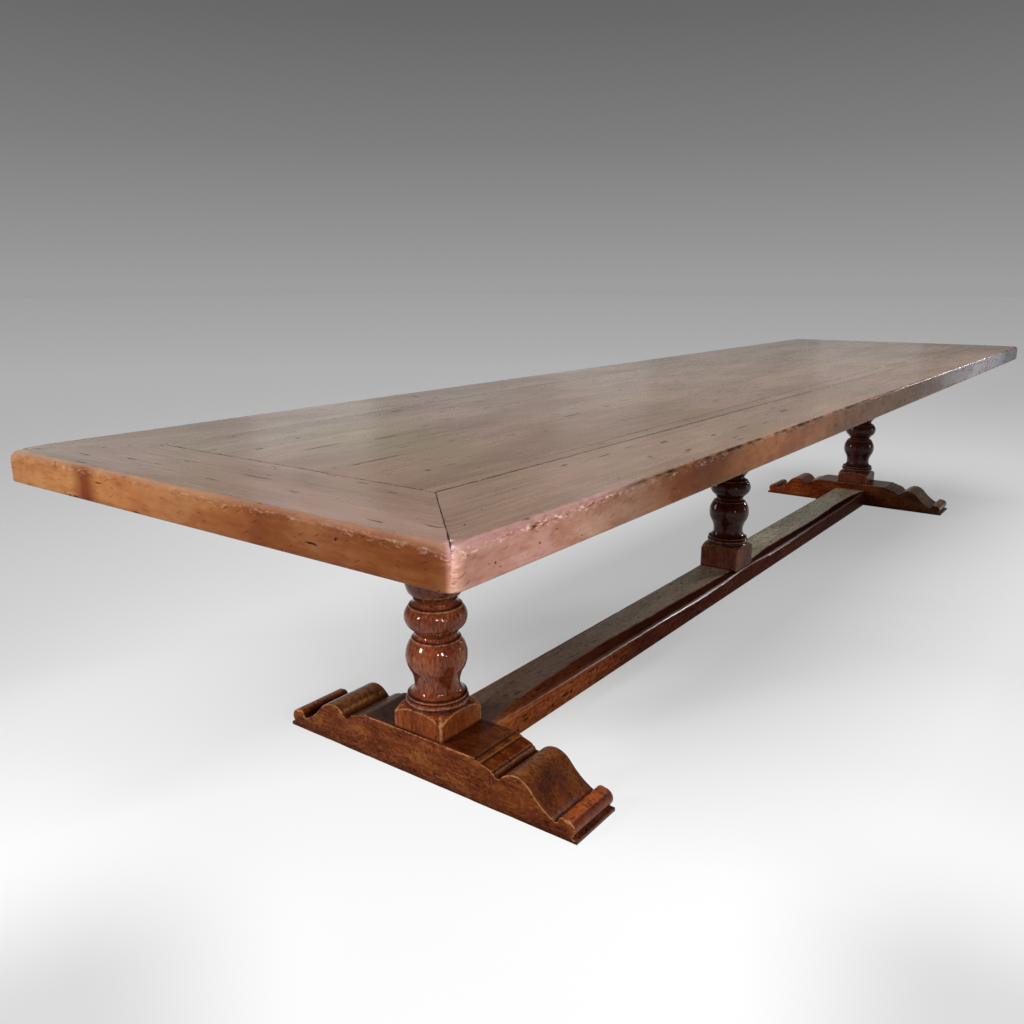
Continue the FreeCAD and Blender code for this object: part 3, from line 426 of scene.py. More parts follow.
# the columns: turned between square blocks
column = {
    "blockHalf": 0.071,
    "edgeSoftness": 0.0022,   # rounding where the turned shoulder meets the block's flat faces
    "cornerPower": 38,        # the block's plan is a square with softly rounded corners
    "around": 132,
    "spacing": 0.9,           # millimetres between rings on the turned part
    "blockRows": (0.003, 0.006),
    "bevel": (0.0016, 0.0009, 0.0003, 0.0),     # last rings of a block, from its end
    "pastBlock": 0.2,         # radius given to the turned part beside the blocks, where the square is the smaller
    "ringWidths": (0.0016, 0.0018),     # of the pale and the dark rings
    "handTurned": 0.00022,    # unevenness of the turned part
    "highlightRings": (-0.1847, -0.0507, -0.0218, 0.0269, 0.0577, -0.1958),      # painted highlights on the bead edges, height from the middle
    # painted shade in the grooves beside the beads, height from the middle
    "shadeRings": (-0.1882, -0.2052, -0.0482, 0.0294, -0.181),
    # corners of the turned profile from the lower to the upper shoulder: radius, height from the middle,
    # rise of the arc that follows
    "turning": [
        (104.4, -232.5, 5.2), (65.5, -207.8, 0), (65.5, -202.8, 6.6), (65.5, -188.8, 0), (65.5, -187.0, 0),
        (68.6, -186.8, 0), (68.6, -182.6, 0), (67.2, -182.4, -4.2), (52.0, -159.4, -2.55), (62.0, -122.8, 11.3),
        (56.0, -51.6, 0), (56.0, -49.8, 0), (54.8, -49.6, -1.3), (46.0, -40.5, -0.8), (61.0, -22.4, 0),
        (62.2, -21.6, 9.9), (60.5, 26.0, 0), (60.5, 27.8, 0), (59.3, 28.0, -1.3), (46.5, 37.5, -0.6), (59.2, 57.0, 0),
        (60.6, 58.4, 8.2), (62.0, 122.8, -2.55), (52.0, 159.4, -4.2), (67.2, 182.4, 0), (68.6, 182.6, 0),
        (68.6, 186.8, 0), (65.5, 187.0, 0), (65.5, 188.8, 6.6), (65.5, 202.8, 0), (65.5, 207.8, 5.2), (104.4, 232.5, 0),
    ],
}


def makeColumn(name, seed, turnedTone, blockTone):
    # rings of radius min(turned profile, square block), with the crossing softened
    low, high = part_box(name)
    centre = np.array([(low.x + high.x) / 2, (low.y + high.y) / 2])
    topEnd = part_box("bearer_middle")[0].z
    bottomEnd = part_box("stretcher")[1].z if name == "column_middle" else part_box("foot_left")[1].z
    middle = (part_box("foot_left")[1].z + topEnd) / 2
    profile = bentLine(column["turning"], column["spacing"]) / 1000
    bevel = np.array(column["bevel"])
    lowerBlock = spread(middle + profile[0, 1], bottomEnd + bevel[0], *column["blockRows"])[1:-1]
    upperBlock = spread(middle + profile[-1, 1], topEnd - bevel[0], *column["blockRows"])[1:-1]
    lowerBlock = np.concatenate([lowerBlock, bottomEnd + bevel])
    upperBlock = np.concatenate([upperBlock, topEnd - bevel])
    z = np.concatenate([lowerBlock[::-1], middle + profile[:, 1], upperBlock])[:, None]
    turned = np.pad(profile[:, 0], (len(lowerBlock), len(upperBlock)), constant_values=column["pastBlock"])[:, None]
    share = np.linspace(-1, 1, column["around"] // 4, endpoint=False)
    quarter = np.sign(share) * np.abs(share) ** 1.7 * np.pi / 4 + np.pi / 4
    angle = np.concatenate([quarter + np.pi / 2 * k for k in range(4)])[None, :]
    power = column["cornerPower"]
    square = column["blockHalf"] / (np.abs(np.cos(angle)) ** power + np.abs(np.sin(angle)) ** power) ** (1 / power)
    square = square - 0.6 * np.clip(bevel[0] - np.minimum(z - bottomEnd, topEnd - z), 0, None) ** 2 / bevel[0]
    hand = column["handTurned"] * waves(z + 0.05 * np.cos(angle + seed), seed, (0.05, 0.021, 0.11))
    r = softMin(turned + hand, square, column["edgeSoftness"])
    points = np.stack([centre[0] + r * np.cos(angle), centre[1] + r * np.sin(angle), z + 0 * r], -1)
    onBlock = ease(turned, 0.0735, 0.004)
    cornerLine = bell(np.abs(np.abs(np.cos(angle)) - np.abs(np.sin(angle))) * column["blockHalf"], 0, 0.0032)
    up = z - middle
    wear = np.clip(bell(turned, square, 0.0034) * (np.abs(up) > 0.2) + cornerLine * onBlock, 0, 1)
    paleWidth, darkWidth = column["ringWidths"]
    # the pale bead edges are painted highlights; the dark grooves and the dark line where the column stands are painted
    # shade
    beads = sum(bell(up, place, paleWidth) for place in column["highlightRings"])
    wear = np.clip(wear + 0.7 * beads * (1 - onBlock), 0, 1)
    groove = sum(bell(up, place, darkWidth) for place in column["shadeRings"]) * (1 - onBlock)
    groove = groove + 0.9 * bell(z, bottomEnd, 0.0025)
    # a little lighter round the lower belly, and darker above the middle as painted shade under the top
    tone = 1.0 + 0.2 * bell(up, -0.12, 0.05) - 0.3 * ease(up, 0.03, 0.02)
    turnedTone, blockTone = np.array([turnedTone, blockTone])
    tone = tone[..., None] * (turnedTone + (blockTone - turnedTone) * onBlock[..., None])
    grain = np.stack([points[..., 2] + 2.1 * seed, points[..., 0] - centre[0], points[..., 1] - centre[1]], -1)
    return loftPiece("turned_" + name, points, name, {
        "grain": grain, "wear": wear, "joint": np.clip(groove, 0, 1), "tone": tone, "face": onBlock}, onBlock)


# the middle and right columns are darkened as painted shade under the table, the right one also purpler; their bluer
# blocks are a painted sheen
columns = [makeColumn("column_left", 11, (1.03, 1.0, 0.98), (1, 1, 1)),
           makeColumn("column_middle", 12, (0.5, 0.33, 0.28), (0.75, 0.92, 2.1)),
           makeColumn("column_right", 13, (0.5, 0.47, 0.85), (0.8, 0.9, 2.0))]
print("columns made")


# the feet: a carved outline carried across the width of the foot
foot = {
    "arris": 0.0026,
    "spacing": 2.2,           # millimetres along the outline
    "dent": 0.0001,           # unevenness of the carved faces
    "soleSteps": 60,
    "acrossSteps": 26,
    "platformTone": (-0.35, -0.35, -0.25),      # what the platform and the far half add to red, green and blue: painted shade under the top
    "farTone": (-0.45, -0.3, -0.1),
    # distance from the middle, width and strength of rubbed crowns, the toe roll's partly a painted highlight, of
    # painted shade lines in the step grooves and of painted highlight lines on the step ridges
    "crownRubsAndHighlight": ((0.275, 0.022, 0.45), (0.402, 0.016, 0.5)),
    "shadeLines": ((0.2275, 0.0055, 0.9), (0.3765, 0.007, 0.9), (0.1665, 0.0026, 1.0), (0.1848, 0.0026, 0.9),
                  (0.2142, 0.0022, 0.9), (0.4165, 0.003, 0.7)),
    "highlightLines": ((0.1813, 0.0018, 0.8), (0.2172, 0.0022, 0.8), (0.2430, 0.004, 0.5), (0.2115, 0.0018, 0.7),
                  (0.1645, 0.0016, 0.7)),
    # half outline from the sole at the toe to the platform: distance from the middle, height, rise of the arc
    # that follows
    "outline": [
        (427.0, 0.6, 0), (427.0, 8.0, 0), (416.0, 8.0, 0), (416.0, 12.0, 13.5), (399.5, 47.0, 6.8), (380.0, 33.0, 0),
        (373.0, 31.5, -3.8), (316.0, 77.0, 5.1), (275.0, 99.0, 3.3), (241.5, 86.2, 0), (232.5, 75.5, 0),
        (222.5, 75.5, 0), (217.0, 83.3, 0), (213.0, 83.3, 0), (213.0, 86.2, 1.0), (184.5, 95.2, 0),
        (182.5, 97.6, 0.5), (167.2, 100.4, 0), (165.0, 104.0, 0), (0.0, 104.0, 0),
    ],
}


def makeFoot(name, seed, slope, crownTone, toeTone):
    # the outline moved in along its normals by a small quarter round at both faces, carried from face to face
    low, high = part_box(name)
    half = bentLine(foot["outline"], foot["spacing"]) / 1000
    toeEnd = half[0, 0]
    sole = np.stack([np.linspace(-toeEnd, toeEnd, foot["soleSteps"]), np.zeros(foot["soleSteps"])], 1)
    outline = np.concatenate([sole, half, half[-2::-1] * [-1, 1]])
    step = np.roll(outline, -1, 0) - np.roll(outline, 1, 0)
    normal = np.stack([step[:, 1], -step[:, 0]], 1)
    normal = normal / np.maximum(np.linalg.norm(normal, axis=1, keepdims=True), 1e-9)
    raised = ease(outline[:, 1], 0.003, 0.012)
    arris = foot["arris"]
    turn = np.linspace(0, np.pi / 2, 6)
    depths = arris * (1 - np.cos(turn))
    insets = arris * (1 - np.sin(turn))
    edgeWear = np.sin(2 * turn)
    inner = np.linspace(arris, high.x - low.x - arris, foot["acrossSteps"])[1:-1]
    x = np.concatenate([low.x + depths, low.x + inner, high.x - depths[::-1]])[:, None]
    inset = np.concatenate([insets, 0 * inner, insets[::-1]])[:, None]
    edgeWear = np.concatenate([edgeWear, 0 * inner, edgeWear[::-1]])[:, None]
    cap = np.clip(1.2 - depths / arris, 0, 1)
    cap = np.concatenate([cap, 0 * inner, cap[::-1]])[:, None]
    line = np.cumsum(np.linalg.norm(np.diff(outline, axis=0, prepend=outline[:1]), axis=1))
    away = np.abs(outline[:, 0])
    rounder = 1 + 1.7 * bell(away, 0.404, 0.013) * ease(outline[:, 1], 0.012, 0.008)
    rounder = rounder + 0.6 * bell(away, 0.285, 0.03) - 0.65 * ((away > 0.160) & (away < 0.238))
    inset = inset * (0.35 + 0.65 * raised) * rounder * (1 + 0.3 * waves(line, seed, (0.13, 0.06, 0.024)))
    section = outline[None] - normal[None] * inset[..., None]
    dent = foot["dent"] * (1 + waves(line[None] + 1.3 * x, seed + 3, (0.11, 0.063, 0.037)))
    section = section - normal[None] * (dent * (outline[:, 1] > 0.03) * (cap == 0))[..., None]
    points = np.stack([x + 0 * inset, section[..., 0], np.clip(section[..., 1], 0, high.z)], -1)
    flat = (1 - cap) * (outline[:, 1] > 0.02)
    # crowns and highlight lines go into the pale wear, the shade lines into the dark joint value
    rub = sum(size * bell(away, place, width) for place, width, size in foot["crownRubsAndHighlight"] + foot["highlightLines"])
    dark = sum(size * bell(away, place, width) for place, width, size in foot["shadeLines"])
    grain = np.stack([points[..., 1] + 2.3 * seed, points[..., 0], points[..., 2]], -1)
    # the platform and far half darker as painted shade; the toe tint a painted golden highlight
    platform = ((away < 0.164) * (outline[:, 1] > 0.1) * flat)[..., None]
    toe = (bell(away, 0.405, 0.025) * flat)[..., None]
    farHalf = np.clip(0.5 + outline[:, 0] / 0.12, 0, 1)[None, :, None] * flat[..., None]
    tone = 1 + platform * np.array(foot["platformTone"]) + toe * np.array(toeTone)
    tone = tone * (1 + farHalf * np.array(foot["farTone"]))
    tone = tone * (1 + (np.array(crownTone) - 1) * flat[..., None]) * np.clip(
        1 + outline[None, :, :1] * np.array(slope) / 0.43, 0.4, None)
    return loftPiece("carved_" + name, points, name, {
        # the toe roll's pale edge is a painted highlight
        "grain": grain, "wear": np.clip(edgeWear * (raised + bell(away, 0.402, 0.014)) + rub * flat, 0, 1),
        "joint": np.clip(dark * flat, 0, 1), "tone": tone, "face": cap}, cap)


# the far foot is lighter towards its back end, painted light from a window, with paler, bluer flat faces, a painted
# sheen; the near toe is redder, a painted golden highlight
feet = [makeFoot("foot_left", 21, (0, 0, 0), (1, 1, 1), (1.2, 0.1, -0.9)),
        makeFoot("foot_right", 22, (0.9, 0.4, 0.1), (3.2, 4.4, 6.0), (0.0, 0.0, 0.0))]
print("feet made")


# the stretcher: a flat rail with its upper edges worn down by feet
stretcher = {
    "rows": (0.006, 0.010),
    # along the rail: place, height of the worn arris on the side, width of the worn face
    "worn": [
        (-1.541, 0.0725, 0.004), (-1.490, 0.0715, 0.014), (-1.400, 0.0690, 0.036), (-1.280, 0.0660, 0.042),
        (-1.000, 0.0640, 0.055), (-0.640, 0.0625, 0.044), (-0.390, 0.0565, 0.035), (-0.190, 0.0580, 0.030),
        (-0.045, 0.0660, 0.022), (0.074, 0.0680, 0.019), (0.300, 0.0560, 0.034), (0.570, 0.0580, 0.030),
        (0.780, 0.0610, 0.024), (1.200, 0.0620, 0.036), (1.440, 0.0690, 0.030), (1.541, 0.0725, 0.004),
    ],
    "seeds": (31, 32),
    "roughness": (1.0, 0.35),     # how uneven the front and the back worn edges are
    "share": (1.0, 0.14),         # how much of the wear the front and the back edges have
    "unevenness": 0.0006,         # of the worn arris
    "hollow": 0.0004,             # how far the top has sunk
    "smoothing": (900, 51),       # fine steps along the rail, and how many of them the worn table is smoothed over
    "dropLimits": (0.0012, 0.022),
    "faceLimits": (0.003, 0.066),
    # along the rail: place, how far the arris is rubbed pale, partly as a painted highlight
    "arrisRubAndHighlight": [(-1.54, 0.2), (-1.15, 0.3), (-1.0, 0.8), (-0.85, 1.0), (0.0, 1.0), (0.1, 0.5), (1.54, 0.4)],
    # along the rail: place, then factors for red, green and blue on the top and on the sides; the top's greying far off
    # is a painted reflection, and the sides' light near end and darker, purpler run beyond are painted light and shade
    "topTones": [(-1.54, 0.85, 0.65, 0.5), (-1.0, 1.15, 1.05, 1.0), (-0.8, 1.7, 1.8, 1.95), (-0.2, 2.4, 2.7, 2.8),
                 (0.3, 4.6, 6.3, 6.7)],
    "sideTones": [(-1.54, 1.7, 1.9, 2.6), (-1.1, 1.7, 1.9, 2.8), (-0.8, 0.6, 0.62, 1.4), (-0.4, 0.45, 0.47, 1.2),
                  (0.3, 0.55, 0.6, 1.4)],
}


def makeStretcher():
    # half sections (underside, side, worn face, top) on both hands, their worn faces changing along the rail
    low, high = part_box("stretcher")
    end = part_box("foot_right")[0].x
    x = spread(-end, end, *stretcher["rows"])[:, None]
    steps, window = stretcher["smoothing"]
    fine = np.linspace(-end, end, steps)
    kernel = np.hanning(window)
    kernel = kernel / kernel.sum()
    padded = np.pad(tableAt(stretcher["worn"], fine), ((window // 2, window // 2), (0, 0)), mode="edge")
    smooth = [np.convolve(values, kernel, "valid") for values in padded.T]
    arrisHeight, faceWidth = (np.interp(x[:, 0], fine, values)[:, None] for values in smooth)
    share = np.concatenate([[0, 0.03, 0.06, 0.09], np.linspace(0, 1, 9)[1:]])     # across the worn face
    tags = np.concatenate([np.full(4, 0), np.full(5, 1), np.full(len(share), 2), np.full(3, 3)])
    halves = []
    for seed, rough, part in zip(stretcher["seeds"], stretcher["roughness"], stretcher["share"]):
        drop = part * (high.z - arrisHeight) + stretcher["unevenness"] * rough * waves(x, seed, (0.21, 0.09, 0.045))
        drop = drop + rough * chips(x[:, 0], seed + 5, 90, (-end, end), (0.004, 0.014), (0.0002, 0.0018))[:, None]
        drop = np.clip(drop, *stretcher["dropLimits"])
        wide = part * faceWidth * (1 + 0.04 * rough * waves(x, seed + 2, (0.4, 0.17, 0.07)))
        wide = np.clip(wide, *stretcher["faceLimits"])
        y = np.concatenate([high.y * np.array([0.02, 0.4, 0.8, 0.985]) + 0 * x,
                            high.y - np.array([0.0008, 0, 0, 0, 0]) + 0 * x,
                            high.y - wide * share - 0.0010 * bell(share, 0, 0.03),
                            (high.y - wide) * np.array([0.8, 0.5, 0.2])], 1)
        z = np.concatenate([low.z + 0 * x + np.array([0, 0, 0, 0.0002]),
                            low.z + 0.0008 + (high.z - drop - low.z - 0.002) * np.array([0, 0.02, 0.4, 0.8, 1]),
                            high.z - drop * (1 - share) + 0.12 * drop * np.sin(np.pi * share)
                            - 0.0006 * bell(share, 0, 0.03),
                            high.z + 0 * x + np.zeros(3)], 1)
        halves.append((y, z, drop))
    y = np.concatenate([-halves[0][0], halves[1][0][:, ::-1]], 1)
    z = np.concatenate([halves[0][1], halves[1][1][:, ::-1]], 1)
    tag = np.concatenate([tags, tags[::-1]])[None]
    across = np.concatenate([np.zeros(9), share, np.ones(3)])
    across = np.concatenate([across, across[::-1]])[None]
    drop = np.repeat(np.stack([halves[0][2][:, 0], halves[1][2][:, 0]], 1), len(tags), 1)
    z = z - (tag == 3) * stretcher["hollow"] * np.clip(1 + waves(x + 2 * y, 36, (0.6, 0.23, 0.11)), 0, None)
    points = np.stack([x + 0 * y, y, np.clip(z, low.z, high.z)], -1)
    strength = np.clip(drop / 0.007, 0.05, 1)
    # the pale line along the worn arris is rubbed wear and a painted highlight
    wear = (tag == 2) * bell(across, 0.04, 0.09) * strength * tableAt(stretcher["arrisRubAndHighlight"], x)[..., 0]
    wornFace = (tag == 2) * np.clip(across / 0.08, 0, 1) * np.clip((1.0 - across) / 0.1, 0, 1) * strength
    topFace = np.where(tag == 3, 1.0, np.where(tag == 2, ease(across, 0.86, 0.14), 0)) * np.ones_like(y)
    grain = np.stack([points[..., 0] + 9.1, points[..., 1], points[..., 2]], -1)
    # painted reflection on the top, painted light and shade on the sides
    sideTone, topTone = (tableAt(stretcher[key], x) for key in ("sideTones", "topTones"))
    tone = sideTone + (topTone - sideTone) * topFace[..., None]
    return loftPiece("worn_stretcher", points, "stretcher", {
        "grain": grain, "wear": wear, "joint": wornFace, "tone": tone, "face": 1 - topFace},
        (topFace < 0.5) & ~((tag == 2) & (across < 0.2)))


rail = makeStretcher()
print("stretcher made")


def woodFinish(name, look, ior, coat):
    # old oak under wax: brown patches, streaks along the grain, dark dashes and pits, rubbed edges, a soft gloss
    material, add = newFinish(name)
    grain, tone, wear, joint, face = (add("Attribute", attribute_name=key, output=output) for key, output in (
        ("grain", "Vector"), ("tone", "Vector"), ("wear", "Fac"), ("joint", "Fac"), ("face", "Fac")))

    def perCell(along, across, turn=0.0):
        # pattern coordinates that count cells of a size in metres along and across the grain, turned in its plane
        return add("Mapping", {
            "Vector": grain, "Rotation": (0, 0, turn), "Scale": (along, across, across)}, vector_type="TEXTURE")

    def fromMiddle(place, middle, reach):
        # distance from the middle of an ellipse, 1 on its edge
        offset = add("VectorMath", (place, middle), operation="SUBTRACT")
        scale = tuple(1 / r if r else 0 for r in reach)
        offset = add("VectorMath", (offset, scale), operation="MULTIPLY")
        return add("VectorMath", (offset,), operation="LENGTH", output="Value")

    # patches, flecks and streaks added up into one value that picks the colour
    ramps = []
    for clouds, colors in ((look["noise"], look["upper"]), (look["sideNoise"], look["side"])):
        value = 0.0
        for along, across, detail, weight in clouds:
            cells = perCell(along, across)
            cloud = add("TexNoise", {"Vector": cells, "Scale": 1.0, "Detail": detail, "Roughness": 0.58})
            value = add("Math", (cloud, weight, value), operation="MULTIPLY_ADD")
        ramps.append(add("ValToRGB", {"Fac": value}, ramp=list(zip(cloudStops, colors))))
    color = add("Mix", {0: face, 6: ramps[0], 7: ramps[1]}, data_type="RGBA", output=2)
    # the tone holds tints and, on many pieces, painted light, shade, sheen and reflections
    color = add("VectorMath", (color, tone), operation="MULTIPLY")

    if look.get("floorShade"):      # painted shade, darker close to the floor; the pattern's third coordinate is the height there
        height = add("SeparateXYZ", (grain,), output=2)
        clean = add("MapRange", (height, 0.0, look["floorShade"], 0.4, 1.0))
        color = add("VectorMath", (color, clean), operation="MULTIPLY")

    # dark dashes along the grain and round pits: an ellipse in some of the cells
    ragged = add("TexNoise", {"Vector": perCell(0.012, 0.004), "Scale": 1.0, "Detail": 2.0}, output="Color")
    marks = 0.0
    for cell, chance, reach, everywhere in look["marks"]:
        place = add("VectorMath", (ragged, (0.25, 0.10, 0.10), perCell(*cell)), operation="MULTIPLY_ADD")
        cells = add("TexVoronoi", {"Vector": place, "Scale": 1.0, "Randomness": 0.9},
                    voronoi_dimensions=look["cells"], feature="F1", output=None)
        distance = fromMiddle(place, cells["Position"], reach)
        luck = add("SeparateColor", (cells["Color"],))
        size = add("MapRange", (luck, 1 - chance, 1.0, 0.0, 1.0))
        size = add("Math", (size, 0.4), operation="POWER")
        inside = add("Math", (size, distance), operation="SUBTRACT")
        mark = add("MapRange", (inside, 0.0, 0.2, 0.0, 1.0))
        if not everywhere:      # on the sides alone
            for share in (face, 0.75):
                mark = add("Math", (mark, share), operation="MULTIPLY")
        marks = add("Math", (marks, mark), operation="MAXIMUM")
    # single drying cracks and pits in known places
    for order, along, depth, reachAlong, reachAcross in look.get("checks", ()):
        steps = [step * order for step in top["patternStep"]]
        middle = (along + steps[0], depth + over - under + steps[1], 0)
        distance = fromMiddle(grain, middle, (reachAlong, reachAcross, 0))
        mark = add("MapRange", (distance, 1.0, 0.7, 0.0, 1.0))
        marks = add("Math", (marks, mark), operation="MAXIMUM")
    strength, tint = look["mark"]
    shown = add("Math", (marks, strength), operation="MULTIPLY")
    color = add("Mix", {0: shown, 6: color, 7: tint}, data_type="RGBA", output=2)

    # rubbed edges: pale where the wood is polished through, dark in small chips; on some pieces the pale is also a
    # painted highlight
    rubNoise = add("TexNoise", {"Vector": perCell(*look["rubSize"]), "Scale": 1.0, "Detail": 4.0, "Roughness": 0.65})
    for start, full, strength, tint in (look["pale"], look["chip"]):
        part = add("MapRange", (rubNoise, start, full, 0.0, strength))
        part = add("Math", (part, wear), operation="MULTIPLY")
        color = add("Mix", {0: part, 6: color, 7: tint}, data_type="RGBA", output=2)
    # dark joint lines, and painted shade in the grooves of the columns and feet
    strength, tint = look["joint"]
    dark = add("Math", (joint, strength), operation="MULTIPLY")
    color = add("Mix", {0: dark, 6: color, 7: tint}, data_type="RGBA", output=2)

    relief = add("Math", (value, marks), operation="SUBTRACT")
    bumped = add("Bump", {"Height": relief, "Strength": look["bump"], "Distance": 0.001})
    rough = add("MapRange", (value, cloudStops[0], cloudStops[-1]) + look["rough"])
    shader = add("BsdfPrincipled", {
        "Base Color": color, "Roughness": rough, "IOR": ior, "Normal": bumped,
        "Coat Weight": coat, "Coat Roughness": look["coat"][1]})
    add("OutputMaterial", {"Surface": shader}, output=None)
    return material


cloudStops = (0.36, 0.5, 0.64)      # where the three colours of a finish lie in its pattern
# sizes in metres: noise is (along, across, detail, weight), marks are (cell, chance, reach as a share of the cell,
# on all faces or the sides alone), mark and joint (strength, colour), pale and chip (start and end in the pattern,
# strength, colour), ior (upper faces, sides), coat (weight, roughness); real pores are finer than a picture element,
# so the finest streaks are drawn about three times as wide
looks = {
    "waxed_oak_top": {      # greyed on top, partly by light and use and partly as a painted sheen, satin, with warm red-brown sides
        "noise": [(0.50, 0.16, 3.0, 0.48), (0.09, 0.02, 2.0, 0.16), (0.30, 0.004, 2.0, 0.36)],
        "sideNoise": [(0.25, 0.12, 2.0, 0.58), (0.035, 0.016, 3.0, 0.30), (0.10, 0.006, 2.0, 0.12)],
        "upper": ("#715c50", "#836e61", "#927d6f"), "side": ("#8a4c2d", "#a36438", "#b97f4e"), "cells": "2D",
        "marks": [((0.110, 0.050), 0.22, (0.22, 0.05, 0), True), ((0.050, 0.040), 0.08, (0.06, 0.08, 0), True),
                  ((0.030, 0.012, 0.45), 0.3, (0.3, 0.07, 0), False),
                  ((0.024, 0.012, -0.3), 0.2, (0.2, 0.08, 0), False)],
        # board, place and depth in it, half length, half width
        "checks": [(7, 0.172, 0.186, 0.061, 0.0042), (7, 0.328, 0.163, 0.043, 0.0045), (8, 0.629, 0.1465, 0.024, 0.006),
                   (3, 0.6225, 0.125, 0.057, 0.0024), (1, 0.729, 0.140, 0.02, 0.005), (1, 0.605, 0.088, 0.010, 0.004),
                   (1, 0.734, 0.061, 0.016, 0.004), (1, 0.905, 0.094, 0.014, 0.005), (1, 1.054, 0.090, 0.05, 0.003),
                   (1, 1.369, 0.110, 0.03, 0.006), (7, 0.831, 0.024, 0.045, 0.005), (7, 1.024, 0.042, 0.012, 0.006),
                   (6, 0.589, 0.169, 0.008, 0.006), (6, 0.121, 0.094, 0.006, 0.006), (1, 0.364, 0.172, 0.014, 0.004),
                   (8, 0.209, 0.026, 0.007, 0.006), (7, 0.079, 0.266, 0.012, 0.005), (2, 1.052, 0.078, 0.012, 0.01)],
        "mark": (0.9, "#24150c"), "rubSize": (0.010, 0.004),
        "pale": (0.56, 0.61, 0.85, "#e8cdb8"), "chip": (0.45, 0.38, 0.85, "#40220f"),
        "joint": (1.0, "#2a1d16"), "bump": 0.25, "rough": (0.22, 0.32), "ior": (1.4, 1.12), "coat": (0.25, 0.2)},
    "polished_turned_oak": {      # dark red-brown with a clear shine, paler on the rings, where the pale is a painted highlight
        "noise": [(0.10, 0.05, 3.0, 0.35), (0.012, 0.008, 4.0, 0.30), (0.06, 0.005, 3.0, 0.35)],
        "sideNoise": [(0.10, 0.05, 3.0, 0.40), (0.012, 0.008, 4.0, 0.30), (0.06, 0.005, 3.0, 0.30)],
        "upper": ("#4a1e13", "#743822", "#985a36"), "side": ("#5c2811", "#8a431f", "#ac6636"), "cells": "3D",
        "marks": [((0.020, 0.009), 0.6, (0.5, 0.2, 0.2), True), ((0.012, 0.010), 0.25, (0.25, 0.25, 0.25), True)],
        "mark": (0.85, "#1c0a05"), "rubSize": (0.012, 0.008),
        "pale": (0.34, 0.56, 0.75, "#d39868"), "chip": (0.40, 0.32, 0.5, "#3a1c0f"),
        "joint": (0.85, "#180905"), "bump": 0.08, "rough": (0.08, 0.14), "ior": (1.22, 1.12), "coat": (0.18, 0.05)},
    "waxed_carved_oak": {      # deep mottled brown, rubbed pale on edges and crowns, with painted highlights on the step ridges and toe rolls and painted shade in the step grooves
        "noise": [(0.10, 0.05, 3.0, 0.45), (0.014, 0.008, 4.0, 0.35), (0.05, 0.005, 3.0, 0.20)],
        "sideNoise": [(0.10, 0.04, 3.0, 0.40), (0.012, 0.007, 4.0, 0.40), (0.05, 0.005, 3.0, 0.20)],
        "upper": ("#3e1709", "#713114", "#985420"), "side": ("#451c0d", "#7a3b1d", "#a36633"), "cells": "3D",
        "marks": [((0.024, 0.011), 0.6, (0.45, 0.2, 0.2), True), ((0.012, 0.010), 0.35, (0.3, 0.3, 0.3), True)],
        "mark": (0.85, "#1c0b05"), "rubSize": (0.012, 0.007), "floorShade": 0.02,
        "pale": (0.34, 0.56, 0.8, "#cf9160"), "chip": (0.42, 0.34, 0.7, "#241006"),
        "joint": (0.9, "#190a05"), "bump": 0.2, "rough": (0.22, 0.34), "ior": (1.25, 1.12), "coat": (0.1, 0.08)},
    "worn_stretcher_oak": {      # dry and scuffed grey above, greyer far off as a painted reflection, reddish on the sides with painted light and shade, pale along the worn arris, partly a painted highlight
        "noise": [(0.20, 0.05, 3.0, 0.30), (0.02, 0.009, 4.0, 0.45), (0.10, 0.005, 3.0, 0.25)],
        "sideNoise": [(0.20, 0.05, 3.0, 0.35), (0.02, 0.009, 4.0, 0.40), (0.10, 0.005, 3.0, 0.25)],
        "upper": ("#4a392d", "#705a48", "#907a64"), "side": ("#4a1e0c", "#84401c", "#ac642c"), "cells": "3D",
        "marks": [((0.045, 0.018), 0.6, (0.45, 0.2, 0.2), True), ((0.022, 0.016), 0.35, (0.3, 0.28, 0.28), True)],
        "mark": (0.9, "#130905"), "rubSize": (0.03, 0.008),
        "pale": (0.30, 0.44, 1.0, "#f4e0d4"), "chip": (0.40, 0.32, 0.6, "#5a2f1d"),
        "joint": (0.75, "#38150b"), "bump": 0.3, "rough": (0.26, 0.4), "ior": (1.5, 1.03), "coat": (0.0, 0.12)},
}
for finishName, pieces in zip(looks, (boards, columns, feet, [rail])):
    look = looks[finishName]
    finish = woodFinish(finishName, look, look["ior"][0], look["coat"][0])
    sideFinish = woodFinish(finishName + "_side", look, look["ior"][1], 0.0)
    for piece in pieces:
        piece.data.materials.append(finish)
        piece.data.materials.append(sideFinish)
print("wood finishes made")


def innerFinish(name, colors, grainScale, rough, metallic):
    # plain parts under the top: unpolished oak with its grain along one axis, or dull steel with faint blotches
    material, add = newFinish(name)
    place = add("TexCoord", output="Object")
    streaks = add("Mapping", {"Vector": place, "Scale": grainScale})
    cloud = add("TexNoise", {"Vector": streaks, "Scale": 1.0, "Detail": 4.0, "Roughness": 0.6})
    color = add("ValToRGB", {"Fac": cloud}, ramp=list(zip((0.34, 0.5, 0.66), colors)))
    dull = add("MapRange", (cloud, 0.3, 0.7) + rough)
    bumped = add("Bump", {"Height": cloud, "Strength": 0.2, "Distance": 0.001})
    shader = add("BsdfPrincipled", {
        "Base Color": color, "Roughness": dull, "Metallic": metallic, "IOR": 1.4, "Normal": bumped})
    add("OutputMaterial", {"Surface": shader}, output=None)
    return material


